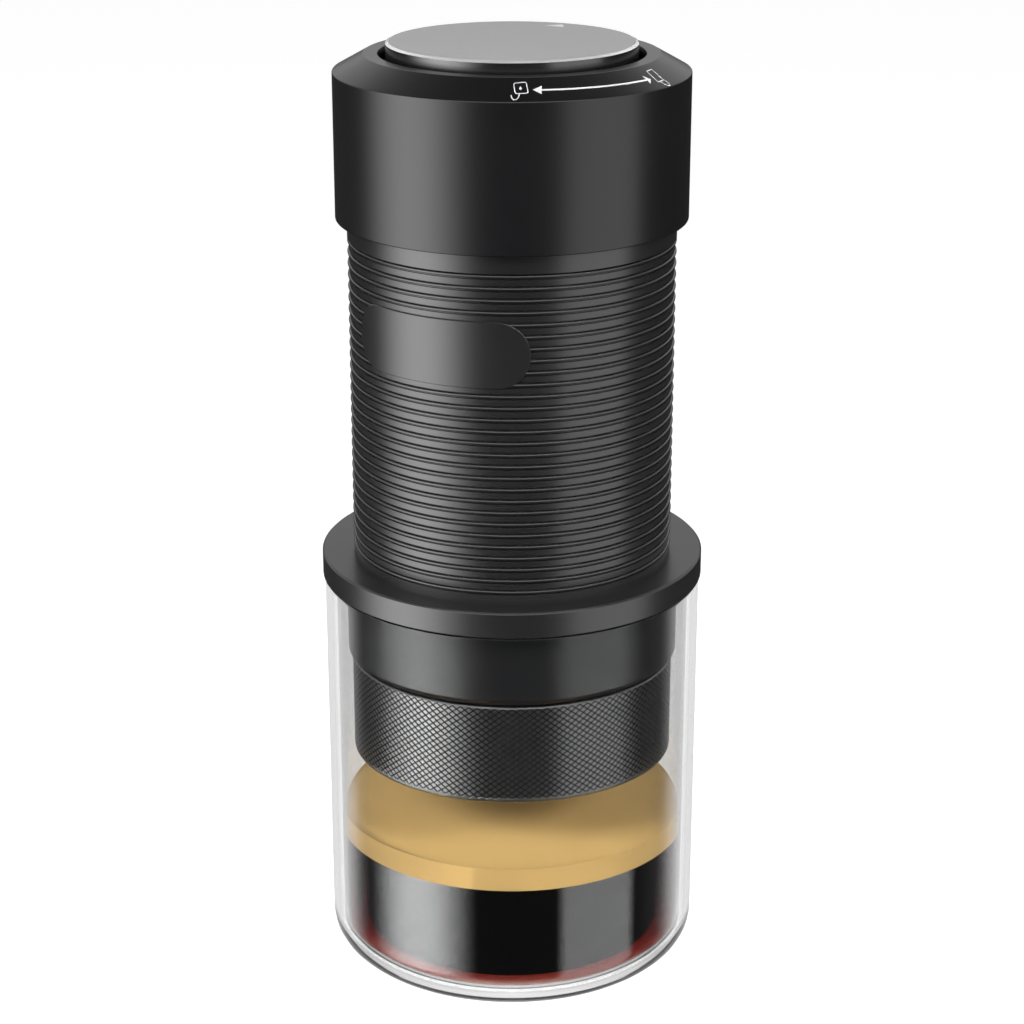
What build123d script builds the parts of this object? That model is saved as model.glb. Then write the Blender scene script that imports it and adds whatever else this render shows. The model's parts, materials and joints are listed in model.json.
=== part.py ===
from build123d import *
from math import cos, radians, sin
import os

# Hand-pumped espresso maker standing in its glass cup.
# Millimetres, +Z up. The origin is the centre of the cup's flat base.
# Water waits in the ribbed tank. Pushing the top knob drives a piston in the pump cylinder that
# hangs in the tank, and the water goes down through the brew head into the coffee in the holder.

# ---------------------------------------------------------------- fits and clearances
BOND = 0.05            # glued, pressed or screwed home for good
RUN = 0.08             # a shaft that turns or slides in its bore
THREAD = 0.30          # between a screw thread and its mate, both drawn as plain cylinders
FREE = 0.30            # between pieces that pass each other
AXIAL = 0.05           # end play of the knob on its rod
OVERCUT = 1.0          # how far a cutting shape goes past the face it cuts
ROOT = 0.5             # how far a lug or ledge is sunk in the wall that carries it
FULL_TURN = 360.0

# ---------------------------------------------------------------- glass cup
CUP_RADIUS = 35.55
CUP_HEIGHT = 76.2
CUP_WALL = 1.3
CUP_BASE = 1.8
CUP_FOOT_ROUND = 4.93
CUP_RIM = 1.8          # height of the fused rim that joins the two walls
RIM_ROUND = 0.5
AIR_GAP = 1.4          # between the two glass walls
AIR_GAP_BELOW = 2.8
VESSEL_WALL = 1.2
VESSEL_FLOOR = 1.4
VESSEL_ROUND = 3.9
ESPRESSO_DEPTH = 18.45
CREMA_DEPTH = 4.35

# ---------------------------------------------------------------- brew head
COLLAR_PLAY = 0.21     # radial room of the collar in the cup
COLLAR_DEPTH = 14.9    # how far the collar stands in the cup
COLLAR_WALL = 3.49
COLLAR_BEVEL = 0.8
SHOULDER = 2.0         # metal over the core, under the flange ring
NECK_WALL = 1.85
NECK_RISE = 4.97       # neck above the flange ring
FLANGE_OVERHANG = 0.39
FLANGE_HEIGHT = 4.83
FLANGE_BEVEL = 0.35
RIM_GASKET_THICK = 1.2
RIM_GASKET_WIDTH = 3.2
RIM_GASKET_INSET = 0.35
CORE_DISH = 2.2        # tank floor below the core's rim
CORE_RIM = 2.0
BOSS_RADIUS = 5.5
BOSS_RISE = 8.0
SOCKET_SINK = 2.0      # socket bottom below the tank floor
PORT_LENGTH = 3.5
PORT_RADIUS = 1.5
CHAMBER_RADIUS = 6.0
CORE_RING_RADIUS = 0.8
CORE_RING_DROP = 6.0

# ---------------------------------------------------------------- outlet valve
RETAINER_THICK = 3.2
RETAINER_INSET = 0.4
RETAINER_FOOT_RADIUS = 2.2
RETAINER_PORT_RADIUS = 0.8
RETAINER_PORT_CIRCLE = 4.2
RETAINER_PORTS = 4
POPPET_RADIUS = 3.0
POPPET_THICK = 1.8
STEM_RADIUS = 1.0
STEM_HOLD = 0.5        # stem inside its guide when shut
OUTLET_TRAVEL = 1.2
OUTLET_WIRE = 0.25
OUTLET_COIL = 2.0
OUTLET_TURNS = 4

# ---------------------------------------------------------------- shower screen and head gasket
SCREEN_THICK = 0.6
SCREEN_DROP = 0.8      # screen seat below the thread's end
SCREEN_PLAY = 0.4
SEAT_PLAY = 0.1        # screen seat inside the head gasket
SCREEN_HOLE_RADIUS = 0.6
SCREEN_HOLE_SPACING = 5.2
SPREAD_DEPTH = 1.2     # shallow room over the screen that spreads the water
SPREAD_RIM = 2.0
SCREEN_SCREW_RADIUS = 0.95
SCREEN_SCREW_HEAD = 3.0
SCREEN_SCREW_HEAD_THICK = 0.8
SCREEN_SCREW_BITE = 1.6
HEAD_GASKET_THICK = 1.6

# ---------------------------------------------------------------- filter holder
HOLDER_STEP = 0.76     # holder radius under collar radius
HOLDER_GAP = 0.7       # dark line between collar and holder
HOLDER_HEIGHT = 19.3
HOLDER_WALL = 2.98
HOLDER_FLOOR = 1.8
HOLDER_ROUND = 1.0
HOLDER_BEVEL = 0.6
HOLDER_THREAD = 7.6
BASKET_RIM_WIDTH = 2.1 # rim outside the basket's wall
BASKET_WALL = 0.6
BASKET_RIM = 0.8
BASKET_PLAY = 0.4
BASKET_LIFT = 1.1      # room under the basket
BASKET_HOLE_RADIUS = 0.5
BASKET_HOLE_SPACING = 5.0
PUCK_HEADROOM = 0.3
SPOUT_RADIUS = 8.0
SPOUT_LIP = 1.5
SPOUT_LIP_THICK = 0.6
SPOUT_HOLE_RADIUS = 0.9
SPOUT_HOLES = 6
SPOUT_HOLE_CIRCLE = 4.5

# ---------------------------------------------------------------- tank
FLANGE_STEP = 5.94     # flat of the flange ring outside the ribs
RIB_PROUD = 0.3
RIB_WIDTH = 0.8
RIB_SPACING = 2.148
RIB_COUNT = 28
RIB_START = 1.47       # first rib above the flange ring
SLEEVE_WALL = 1.2
BAND_BELOW_CAP = 4.05
SLEEVE_IN_CAP = 1.95
PAD_LENGTH = 36.8      # measured round the tank
PAD_HEIGHT = 12.0
PAD_PROUD = 0.06
PAD_ROOT = 0.2         # how far the pad is sunk in the sleeve
PAD_ANGLE = -28.8      # from the front, towards -X
PAD_DROP = 14.0        # pad centre below the last rib
LINER_WALL = 1.45
LINER_NECK = 11.3      # threaded neck above the sleeve
TANK_GASKET_THICK = 1.0

# ---------------------------------------------------------------- cap
CAP_OVERHANG = 2.08    # cap outside the ribs
CAP_WALL = 1.58
CAP_SIDE = 26.95
CAP_CONE = 2.55
CAP_CONE_WIDTH = 5.58
CAP_RING_WIDTH = 2.9    # flat ring between the cone and the knob's opening
CAP_TOP_THICK = 1.7
CAP_EDGE = 0.25
CAP_SEAL_THICK = 1.0
WEB_THICK = 2.0
WELL_WALL = 1.5
WELL_FLOOR = 3.0
SKIRT_LIFT = 0.5       # insert above the sleeve's end

# ---------------------------------------------------------------- knob
KNOB_GAP = 1.05        # visible ring gap round the knob
KNOB_RISE = 2.05       # knob above the cap when it is down
KNOB_WALL = 1.25
KNOB_BEVEL_WIDTH = 1.1
KNOB_BEVEL_DROP = 0.8
KNOB_DECK = 1.5
PLATE_THICK = 1.2
PLATE_BEVEL = 0.12
ACCESS_RADIUS = 5.0
LUG_REACH = 1.55
LUG_THICK = 1.5
LUG_COUNT = 3
LUG_SPAN = 24.0        # degrees
SLOT_SPAN = 36.0       # degrees
LEDGE_THICK = 2.0
LEDGE_ROOM = 0.4
STROKE = 20.0
STROKE_ROOM = 0.35
HUB_TUBE_RADIUS = 6.5
HUB_FOOT_LIFT = 0.1    # hub's foot above the skirt's edge
HUB_WEB = 2.0
HUB_SEAT_DROP = 5.4
HUB_SEAT_THICK = 2.0
HUB_RIBS = 6
HUB_RIB_THICK = 1.2
HUB_RIB_DEPTH = 3.0
HUB_RIB_TURN = 30.0    # degrees
HUB_SCREWS = 3
HUB_SCREW_INSET = 5.25
HUB_SCREW_RADIUS = 1.0
HUB_SCREW_HEAD = 1.9
HUB_SCREW_HEAD_THICK = 0.9
HUB_SCREW_LENGTH = 2.6

# ---------------------------------------------------------------- pump
CYLINDER_BORE = 8.5
CYLINDER_WALL = 1.0
DECK_INSET = 4.4       # flanges of the cylinder and of its rod guide, inside the well
CYLINDER_FLANGE = 1.0
GUIDE_FLANGE = 1.0
CYLINDER_GASKET_THICK = 0.6
CYLINDER_GASKET_WIDTH = 6.0
DECK_SCREWS = 3
DECK_SCREW_INSET = 3.0 # screws inside the flanges' edge
DECK_SCREW_TURN = 60.0 # degrees
DECK_SCREW_RADIUS = 1.2
DECK_SCREW_HEAD = 2.0
DECK_SCREW_HEAD_THICK = 1.2
DECK_SCREW_LENGTH = 5.0
FOOT_GAP = 0.6
FOOT_FLANGE = 0.9
FOOT_PLUG = 4.5
FOOT_SPIGOT_RADIUS = 3.0
FOOT_SPIGOT = 8.1
FOOT_BORE = 1.4
FOOT_RING_RADIUS = 0.5
FOOT_RING_DROP = 4.6
UPSTAND_RADIUS = 2.1
UPSTAND = 2.4
INLET_HOLES = 4
INLET_HOLE_RADIUS = 0.9
INLET_CIRCLE = 5.5
FLAP_RADIUS = 7.6
FLAP_THICK = 0.6
CLIP_WIDTH = 1.3
CLIP_THICK = 0.6
CLIP_ROOM = 0.1        # over the lifted flap
INLET_TRAVEL = 1.0
PISTON_GAP = 0.6       # piston above the valve when it is down
PISTON_LENGTH = 10.0
PISTON_PLAY = 0.5
SEAL_RADIUS = 0.8
SEAL_INSET = 2.6       # seal centre from each end of the piston
ROD_RADIUS = 3.5
ROD_SINK = 3.0         # rod end above the piston's face
GUIDE_STOP = 1.3       # guide above the piston at the top of the stroke
GUIDE_LAND = 5.5       # length of each bearing land
GUIDE_RELIEF = 1.5
RETURN_WIRE = 0.6
RETURN_COIL = 9.5
RETURN_TURNS = 7
WASHER_THICK = 0.6
WASHER_RADIUS = 3.8
KNOB_SCREW_RADIUS = 1.45
KNOB_SCREW_HEAD = 2.75
KNOB_SCREW_HEAD_THICK = 2.0
KNOB_SCREW_BITE = 7.5

# ---------------------------------------------------------------- radii that follow
vessel_radius = CUP_RADIUS - CUP_WALL - AIR_GAP
vessel_bore = vessel_radius - VESSEL_WALL
collar_radius = vessel_bore - COLLAR_PLAY
collar_bore = collar_radius - COLLAR_WALL
core_radius = collar_bore - BOND
flange_radius = CUP_RADIUS + FLANGE_OVERHANG
holder_radius = collar_radius - HOLDER_STEP
holder_bore = holder_radius - HOLDER_WALL
spigot_radius = holder_bore - THREAD
basket_rim_radius = holder_bore - BASKET_PLAY
basket_radius = basket_rim_radius - BASKET_RIM_WIDTH
basket_bore = basket_radius - BASKET_WALL
screen_seat_radius = basket_bore - SEAT_PLAY
screen_radius = basket_bore - SCREEN_PLAY
rib_radius = flange_radius - FLANGE_STEP
sleeve_radius = rib_radius - RIB_PROUD
sleeve_bore = sleeve_radius - SLEEVE_WALL
neck_radius = sleeve_bore - BOND
liner_radius = sleeve_bore - BOND
liner_bore = liner_radius - LINER_WALL
cap_radius = rib_radius + CAP_OVERHANG
cap_flat_radius = cap_radius - CAP_CONE_WIDTH
cap_bore = cap_radius - CAP_WALL
insert_radius = cap_bore - BOND
insert_bore = liner_radius + THREAD
opening_radius = cap_flat_radius - CAP_RING_WIDTH
knob_radius = opening_radius - KNOB_GAP
well_bore = knob_radius + LUG_REACH + FREE
well_radius = well_bore + WELL_WALL
deck_radius = well_bore - DECK_INSET
deck_screw_circle = deck_radius - DECK_SCREW_INSET
cylinder_radius = CYLINDER_BORE + CYLINDER_WALL
piston_radius = CYLINDER_BORE - PISTON_PLAY
hub_radius = knob_radius - KNOB_WALL - BOND
hub_screw_circle = hub_radius - HUB_SCREW_INSET
plate_radius = knob_radius - KNOB_BEVEL_WIDTH - BOND

# ---------------------------------------------------------------- heights that follow
vessel_bottom = CUP_BASE + AIR_GAP_BELOW
espresso_bottom = vessel_bottom + VESSEL_FLOOR + BOND
espresso_top = espresso_bottom + ESPRESSO_DEPTH
crema_top = espresso_top + CREMA_DEPTH

collar_bottom = CUP_HEIGHT - COLLAR_DEPTH
flange_top = CUP_HEIGHT + FLANGE_HEIGHT
core_top = CUP_HEIGHT - SHOULDER
tank_floor = core_top - CORE_DISH
boss_top = tank_floor + BOSS_RISE
socket_bottom = tank_floor - SOCKET_SINK
outlet_seat = socket_bottom - PORT_LENGTH
neck_top = flange_top + NECK_RISE

holder_top = collar_bottom - HOLDER_GAP
holder_bottom = holder_top - HOLDER_HEIGHT
holder_floor_top = holder_bottom + HOLDER_FLOOR
holder_ledge = holder_top - HOLDER_THREAD
basket_bottom = holder_floor_top + BASKET_LIFT
basket_floor_top = basket_bottom + BASKET_WALL
basket_top = holder_ledge + BASKET_RIM
spigot_bottom = basket_top + HEAD_GASKET_THICK
screen_top = spigot_bottom - SCREEN_DROP
screen_bottom = screen_top - SCREEN_THICK
screen_screw_bottom = screen_bottom - SCREEN_SCREW_HEAD_THICK
puck_top = screen_screw_bottom - PUCK_HEADROOM
spread_top = screen_top + SPREAD_DEPTH
retainer_bottom = spread_top + RETAINER_INSET
retainer_top = retainer_bottom + RETAINER_THICK
poppet_bottom = outlet_seat - POPPET_THICK

first_rib = flange_top + RIB_START
last_rib = first_rib + (RIB_COUNT - 1) * RIB_SPACING
sleeve_top = last_rib + BAND_BELOW_CAP + SLEEVE_IN_CAP
liner_bottom = neck_top + TANK_GASKET_THICK
liner_top = sleeve_top + LINER_NECK

cap_bottom = last_rib + BAND_BELOW_CAP
cap_corner = cap_bottom + CAP_SIDE
cap_top = cap_corner + CAP_CONE
cap_under = cap_top - CAP_TOP_THICK
web_bottom = liner_top + CAP_SEAL_THICK
web_top = web_bottom + WEB_THICK

knob_top = cap_top + KNOB_RISE
plate_bottom = knob_top - PLATE_THICK
deck_bottom = plate_bottom - KNOB_DECK
hub_web_bottom = deck_bottom - HUB_WEB
hub_seat = hub_web_bottom - HUB_SEAT_DROP
hub_seat_top = hub_seat + HUB_SEAT_THICK
rod_top = hub_seat - AXIAL
lug_top = cap_under - STROKE_ROOM - STROKE
knob_bottom = lug_top - LUG_THICK
ledge_bottom = lug_top + LEDGE_ROOM

guide_top = knob_bottom + HUB_FOOT_LIFT
cylinder_top = guide_top - GUIDE_FLANGE
cylinder_flange_bottom = cylinder_top - CYLINDER_FLANGE
well_floor_top = cylinder_flange_bottom - CYLINDER_GASKET_THICK
well_floor_bottom = well_floor_top - WELL_FLOOR
foot_bottom = boss_top + FOOT_GAP
cylinder_bottom = foot_bottom + FOOT_FLANGE
foot_top = cylinder_bottom + FOOT_PLUG
upstand_top = foot_top + UPSTAND
clip_bottom = foot_top + FLAP_THICK + INLET_TRAVEL + CLIP_ROOM
piston_bottom = upstand_top + PISTON_GAP
piston_top = piston_bottom + PISTON_LENGTH
rod_bottom = piston_bottom + ROD_SINK
guide_bottom = piston_top + STROKE + GUIDE_STOP


# ---------------------------------------------------------------- helpers
def turned(*corners):
    """A closed outline of (radius, height) or (radius, height, rounding), turned round Z."""
    outline = make_face(Polyline(*[corner[:2] for corner in corners], close=True))
    for corner in corners:
        if len(corner) == 3:
            vertex = outline.vertices().sort_by_distance((corner[0], corner[1], 0))[0]
            outline = fillet(vertex, corner[2])
    return revolve(Plane.XZ * outline, axis=Axis.Z)


def ring(inner, outer, bottom, top):
    """A plain ring."""
    return turned((inner, bottom), (outer, bottom), (outer, top), (inner, top))


def disc(radius, bottom, top):
    """A plain round disc or rod."""
    return Pos(0, 0, (bottom + top) / 2) * Cylinder(radius, top - bottom)


def sector(inner, outer, bottom, top, middle, span):
    """The part of a ring that spans some degrees about a middle angle."""
    corners = [(inner, bottom), (outer, bottom), (outer, top), (inner, top)]
    outline = make_face(Polyline(*corners, close=True))
    piece = revolve(Plane.XZ * outline, axis=Axis.Z, revolution_arc=span)
    return Rot(0, 0, middle - span / 2) * piece


def circle_of(shape, radius, count, start=0.0):
    """Copies of a shape, evenly spaced on a circle."""
    return [Rot(0, 0, start + FULL_TURN * k / count) * Pos(radius, 0, 0) * shape for k in range(count)]


def sieve(hole_radius, bottom, top, pitch, reach, first):
    """Round holes in rings, six more in each ring than in the last. First 0 adds the middle hole."""
    drill = disc(hole_radius, bottom - OVERCUT, top + OVERCUT)
    holes = [] if first else [drill]
    for row in range(1, int(reach / pitch) + 1):
        holes += circle_of(drill, row * pitch, 6 * row)
    return holes


def rubber_ring(outer, section, height):
    """A round-section sealing ring by its outer radius."""
    return Pos(0, 0, height) * Torus(outer - section, section)


def coil(mean_radius, wire, bottom, top, turns):
    """A compression spring that stands between two heights."""
    height = top - bottom - 2 * wire
    path = Pos(0, 0, bottom + wire) * Helix(height / turns, height, mean_radius)
    start = Plane(path @ 0, z_dir=path % 0)
    return sweep(start * Circle(wire), path=path, is_frenet=True)


# ---------------------------------------------------------------- glass cup
def cup_outer_wall():
    """Outer glass wall with its flat base."""
    inside = CUP_RADIUS - CUP_WALL
    top = CUP_HEIGHT - CUP_RIM
    return turned((0, 0), (CUP_RADIUS, 0, CUP_FOOT_ROUND), (CUP_RADIUS, top), (inside, top),
                  (inside, CUP_BASE, CUP_FOOT_ROUND - CUP_WALL), (0, CUP_BASE))


def cup_inner_vessel():
    """Inner glass vessel, with the rim that is fused to the outer wall."""
    floor_top = vessel_bottom + VESSEL_FLOOR
    rim_bottom = CUP_HEIGHT - CUP_RIM
    return turned((0, vessel_bottom), (vessel_radius, vessel_bottom, VESSEL_ROUND),
                  (vessel_radius, rim_bottom), (CUP_RADIUS, rim_bottom),
                  (CUP_RADIUS, CUP_HEIGHT, RIM_ROUND), (vessel_bore, CUP_HEIGHT, RIM_ROUND),
                  (vessel_bore, floor_top, VESSEL_ROUND - VESSEL_WALL), (0, floor_top))


def espresso():
    """The drink in the cup."""
    radius = vessel_bore - BOND
    return turned((0, espresso_bottom), (radius, espresso_bottom, VESSEL_ROUND - VESSEL_WALL),
                  (radius, espresso_top), (0, espresso_top))


def crema():
    """The foam that floats on the drink."""
    return disc(vessel_bore - BOND, espresso_top, crema_top)


# ---------------------------------------------------------------- brew head
def brew_collar():
    """Turned collar that stands in the cup, with the neck that carries the tank."""
    inner_neck = neck_radius - NECK_WALL
    return turned((collar_bore, collar_bottom), (collar_radius - COLLAR_BEVEL / 2, collar_bottom),
                  (collar_radius, collar_bottom + COLLAR_BEVEL), (collar_radius, CUP_HEIGHT),
                  (neck_radius, CUP_HEIGHT), (neck_radius, neck_top), (inner_neck, neck_top),
                  (inner_neck, core_top), (collar_bore, core_top))


def cup_flange():
    """Broad ring that rests on the cup, grooved below for its gasket."""
    inner = neck_radius + BOND
    gasket_outer = flange_radius - RIM_GASKET_INSET - FLANGE_OVERHANG
    gasket_inner = gasket_outer - RIM_GASKET_WIDTH
    groove_top = CUP_HEIGHT + RIM_GASKET_THICK
    return turned((inner, CUP_HEIGHT), (gasket_inner, CUP_HEIGHT), (gasket_inner, groove_top),
                  (gasket_outer, groove_top), (gasket_outer, CUP_HEIGHT),
                  (flange_radius, CUP_HEIGHT), (flange_radius, flange_top - FLANGE_BEVEL),
                  (flange_radius - FLANGE_BEVEL, flange_top), (inner, flange_top))


def rim_gasket():
    """Flat silicone ring that the glass rim meets."""
    outer = flange_radius - RIM_GASKET_INSET - FLANGE_OVERHANG
    return ring(outer - RIM_GASKET_WIDTH, outer, CUP_HEIGHT, CUP_HEIGHT + RIM_GASKET_THICK)


def head_core():
    """Moulded core: tank floor, pump socket, valve chamber and the holder's thread."""
    dish = core_radius - CORE_RIM
    body = turned((0, screen_top), (screen_seat_radius, screen_top), (screen_seat_radius, spigot_bottom),
                  (spigot_radius, spigot_bottom), (spigot_radius, collar_bottom),
                  (core_radius, collar_bottom), (core_radius, core_top), (dish, core_top),
                  (dish, tank_floor), (BOSS_RADIUS, tank_floor), (BOSS_RADIUS, boss_top), (0, boss_top))
    body -= disc(FOOT_SPIGOT_RADIUS + RUN, socket_bottom, boss_top)
    body -= disc(PORT_RADIUS, outlet_seat, socket_bottom)
    body -= disc(CHAMBER_RADIUS, screen_top, outlet_seat)
    body -= disc(screen_seat_radius - SPREAD_RIM, screen_top, spread_top)
    groove = core_radius - 2 * CORE_RING_RADIUS
    centre = core_top - CORE_RING_DROP
    body -= ring(groove, core_radius + OVERCUT, centre - CORE_RING_RADIUS, centre + CORE_RING_RADIUS)
    return body


def core_ring():
    """Sealing ring between the core and the collar."""
    return rubber_ring(core_radius, CORE_RING_RADIUS, core_top - CORE_RING_DROP)


def outlet_retainer():
    """Plug that holds the outlet valve in its chamber and takes the screen's screw."""
    body = disc(CHAMBER_RADIUS - BOND, retainer_bottom, retainer_top)
    body += disc(RETAINER_FOOT_RADIUS, screen_top, retainer_bottom)
    body -= disc(STEM_RADIUS + RUN, retainer_top - STEM_HOLD - OUTLET_TRAVEL - FREE, retainer_top)
    body -= disc(SCREEN_SCREW_RADIUS + BOND, screen_top, screen_top + SCREEN_SCREW_BITE + BOND)
    port = disc(RETAINER_PORT_RADIUS, retainer_bottom - OVERCUT, retainer_top + OVERCUT)
    return body - circle_of(port, RETAINER_PORT_CIRCLE, RETAINER_PORTS)


def outlet_poppet():
    """Valve that opens downwards under pump pressure."""
    stem_bottom = retainer_top - STEM_HOLD
    return disc(POPPET_RADIUS, poppet_bottom, outlet_seat) + disc(STEM_RADIUS, stem_bottom, poppet_bottom)


def outlet_spring():
    """Holds the poppet shut."""
    return coil(OUTLET_COIL, OUTLET_WIRE, retainer_top, poppet_bottom, OUTLET_TURNS)


def shower_screen():
    """Perforated disc that rains the water on the coffee."""
    body = disc(screen_radius, screen_bottom, screen_top)
    body -= disc(SCREEN_SCREW_RADIUS + BOND, screen_bottom - OVERCUT, screen_top + OVERCUT)
    return body - sieve(SCREEN_HOLE_RADIUS, screen_bottom, screen_top, SCREEN_HOLE_SPACING,
                        screen_radius - SPREAD_RIM, first=1)


def screen_screw():
    """Low-headed screw of the shower screen."""
    return (disc(SCREEN_SCREW_HEAD, screen_screw_bottom, screen_bottom)
            + disc(SCREEN_SCREW_RADIUS, screen_bottom, screen_top + SCREEN_SCREW_BITE))


def head_gasket():
    """Silicone ring that the basket's rim is screwed against."""
    return ring(basket_bore, basket_rim_radius, basket_top, spigot_bottom)


# ---------------------------------------------------------------- filter holder
def filter_holder():
    """Outer holder, knurled outside, that screws on the core."""
    ledge_bore = basket_radius + BASKET_PLAY
    body = turned((0, holder_bottom), (holder_radius, holder_bottom, HOLDER_ROUND),
                  (holder_radius, holder_top - HOLDER_BEVEL), (holder_radius - HOLDER_BEVEL, holder_top),
                  (holder_bore, holder_top), (holder_bore, holder_ledge), (ledge_bore, holder_ledge),
                  (ledge_bore, holder_floor_top), (0, holder_floor_top))
    return body - disc(SPOUT_RADIUS + BOND, holder_bottom - OVERCUT, holder_floor_top + OVERCUT)


def spout_plate():
    """Steel insert in the holder's floor that the espresso runs out of."""
    body = disc(SPOUT_RADIUS, holder_bottom, holder_floor_top)
    body += disc(SPOUT_RADIUS + SPOUT_LIP, holder_floor_top, holder_floor_top + SPOUT_LIP_THICK)
    hole = disc(SPOUT_HOLE_RADIUS, holder_bottom - OVERCUT, holder_floor_top + SPOUT_LIP_THICK + OVERCUT)
    return body - circle_of(hole, SPOUT_HOLE_CIRCLE, SPOUT_HOLES) - hole


def filter_basket():
    """Pressed steel basket for the ground coffee."""
    body = turned((0, basket_bottom), (basket_radius, basket_bottom), (basket_radius, holder_ledge),
                  (basket_rim_radius, holder_ledge), (basket_rim_radius, basket_top),
                  (basket_bore, basket_top), (basket_bore, basket_floor_top), (0, basket_floor_top))
    return body - sieve(BASKET_HOLE_RADIUS, basket_bottom, basket_floor_top, BASKET_HOLE_SPACING,
                        basket_bore - SPREAD_RIM, first=0)


def coffee_puck():
    """Pressed ground coffee."""
    return disc(basket_bore - 2 * BOND, basket_floor_top + BOND, puck_top)


# ---------------------------------------------------------------- tank
def tank_sleeve():
    """Ribbed outer sleeve with a smooth band under the cap and a smooth pad at the front."""
    half = RIB_WIDTH / 2
    edges = [Line((sleeve_bore, sleeve_top), (sleeve_bore, flange_top)),
             Line((sleeve_bore, flange_top), (sleeve_radius, flange_top))]
    below = (sleeve_radius, flange_top)
    for rib in range(RIB_COUNT):
        height = first_rib + rib * RIB_SPACING
        foot = (sleeve_radius, height - half)
        crest = (rib_radius, height)
        head = (sleeve_radius, height + half)
        edges += [Line(below, foot), ThreePointArc(foot, crest, head)]
        below = head
    band_foot = (rib_radius, below[1] + RIB_PROUD)
    edges += [Line(below, band_foot), Line(band_foot, (rib_radius, sleeve_top))]
    edges.append(Line((rib_radius, sleeve_top), (sleeve_bore, sleeve_top)))
    sleeve = revolve(Plane.XZ * make_face(edges), axis=Axis.Z)
    return sleeve + smooth_pad()


def smooth_pad():
    """Plain rounded patch, as high as the ribs, bent round the tank."""
    half_angle = PAD_LENGTH / 2 / rib_radius
    straight = 2 * rib_radius * sin(half_angle)
    face_out = Vector(sin(radians(PAD_ANGLE)), -cos(radians(PAD_ANGLE)), 0)
    along = Vector(-face_out.Y, face_out.X, 0)
    place = Plane(origin=(0, 0, last_rib - PAD_DROP), x_dir=along, z_dir=face_out)
    prism = extrude(place * SlotOverall(straight, PAD_HEIGHT), amount=rib_radius + OVERCUT)
    shell = ring(sleeve_radius - PAD_ROOT, rib_radius + PAD_PROUD, first_rib, last_rib)
    return shell & prism


def tank_liner():
    """Water tank, with the threaded neck that the cap screws on."""
    return ring(liner_bore, liner_radius, liner_bottom, liner_top)


def tank_gasket():
    """Seals the liner on the collar's neck."""
    return ring(liner_bore, liner_radius, neck_top, liner_bottom)


# ---------------------------------------------------------------- cap
def cap_shell():
    """Turned outer shell of the cap."""
    slope = (cap_radius - cap_flat_radius) / CAP_CONE
    inner_corner = cap_corner - CAP_TOP_THICK + (cap_radius - cap_bore) / slope
    return turned((cap_bore, cap_bottom), (cap_radius - CAP_EDGE, cap_bottom),
                  (cap_radius, cap_bottom + CAP_EDGE), (cap_radius, cap_corner),
                  (cap_flat_radius, cap_top), (opening_radius + CAP_EDGE, cap_top),
                  (opening_radius, cap_top - CAP_EDGE), (opening_radius, cap_under),
                  (cap_flat_radius, cap_under), (cap_bore, inner_corner))


def cap_insert():
    """Moulded inside of the cap: tank thread, knob well and the three catch ledges."""
    skirt_bottom = sleeve_top + SKIRT_LIFT
    body = turned((cylinder_radius + BOND, well_floor_bottom), (well_radius, well_floor_bottom),
                  (well_radius, web_bottom), (insert_bore, web_bottom), (insert_bore, skirt_bottom),
                  (insert_radius, skirt_bottom), (insert_radius, web_top), (well_radius, web_top),
                  (well_radius, cap_under), (well_bore, cap_under), (well_bore, well_floor_top),
                  (cylinder_radius + BOND, well_floor_top))
    ledge_span = FULL_TURN / LUG_COUNT - SLOT_SPAN
    for k in range(LUG_COUNT):
        middle = FULL_TURN * (k + 0.5) / LUG_COUNT
        body += sector(knob_radius + FREE, well_bore + ROOT, ledge_bottom, ledge_bottom + LEDGE_THICK,
                       middle, ledge_span)
    pilot = disc(DECK_SCREW_RADIUS + BOND, guide_top - DECK_SCREW_LENGTH - BOND, well_floor_top + OVERCUT)
    return body - circle_of(pilot, deck_screw_circle, DECK_SCREWS, DECK_SCREW_TURN)


def cap_seal():
    """Silicone ring between the cap and the tank's neck."""
    return ring(liner_bore, liner_radius, liner_top, web_bottom)


# ---------------------------------------------------------------- pump
def pump_cylinder():
    """Steel tube that hangs in the tank from its flange."""
    body = turned((CYLINDER_BORE, cylinder_bottom), (cylinder_radius, cylinder_bottom),
                  (cylinder_radius, cylinder_flange_bottom), (deck_radius, cylinder_flange_bottom),
                  (deck_radius, cylinder_top), (CYLINDER_BORE, cylinder_top))
    return body - deck_holes()


def deck_holes():
    """Clearance holes for the three deck screws."""
    drill = disc(DECK_SCREW_RADIUS + BOND, well_floor_bottom, guide_top + OVERCUT)
    return circle_of(drill, deck_screw_circle, DECK_SCREWS, DECK_SCREW_TURN)


def cylinder_gasket():
    """Flat gasket under the cylinder's flange."""
    inner = deck_radius - CYLINDER_GASKET_WIDTH
    return ring(inner, deck_radius, well_floor_top, cylinder_flange_bottom) - deck_holes()


def rod_guide():
    """Long bush that keeps the rod straight and ends the upstroke."""
    bore = ROD_RADIUS + RUN
    body = turned((bore, guide_bottom), (CYLINDER_BORE - BOND, guide_bottom),
                  (CYLINDER_BORE - BOND, cylinder_top), (deck_radius, cylinder_top),
                  (deck_radius, guide_top), (bore, guide_top), (bore, guide_top - GUIDE_LAND),
                  (bore + GUIDE_RELIEF, guide_top - GUIDE_LAND),
                  (bore + GUIDE_RELIEF, guide_bottom + GUIDE_LAND), (bore, guide_bottom + GUIDE_LAND))
    return body - deck_holes()


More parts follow.
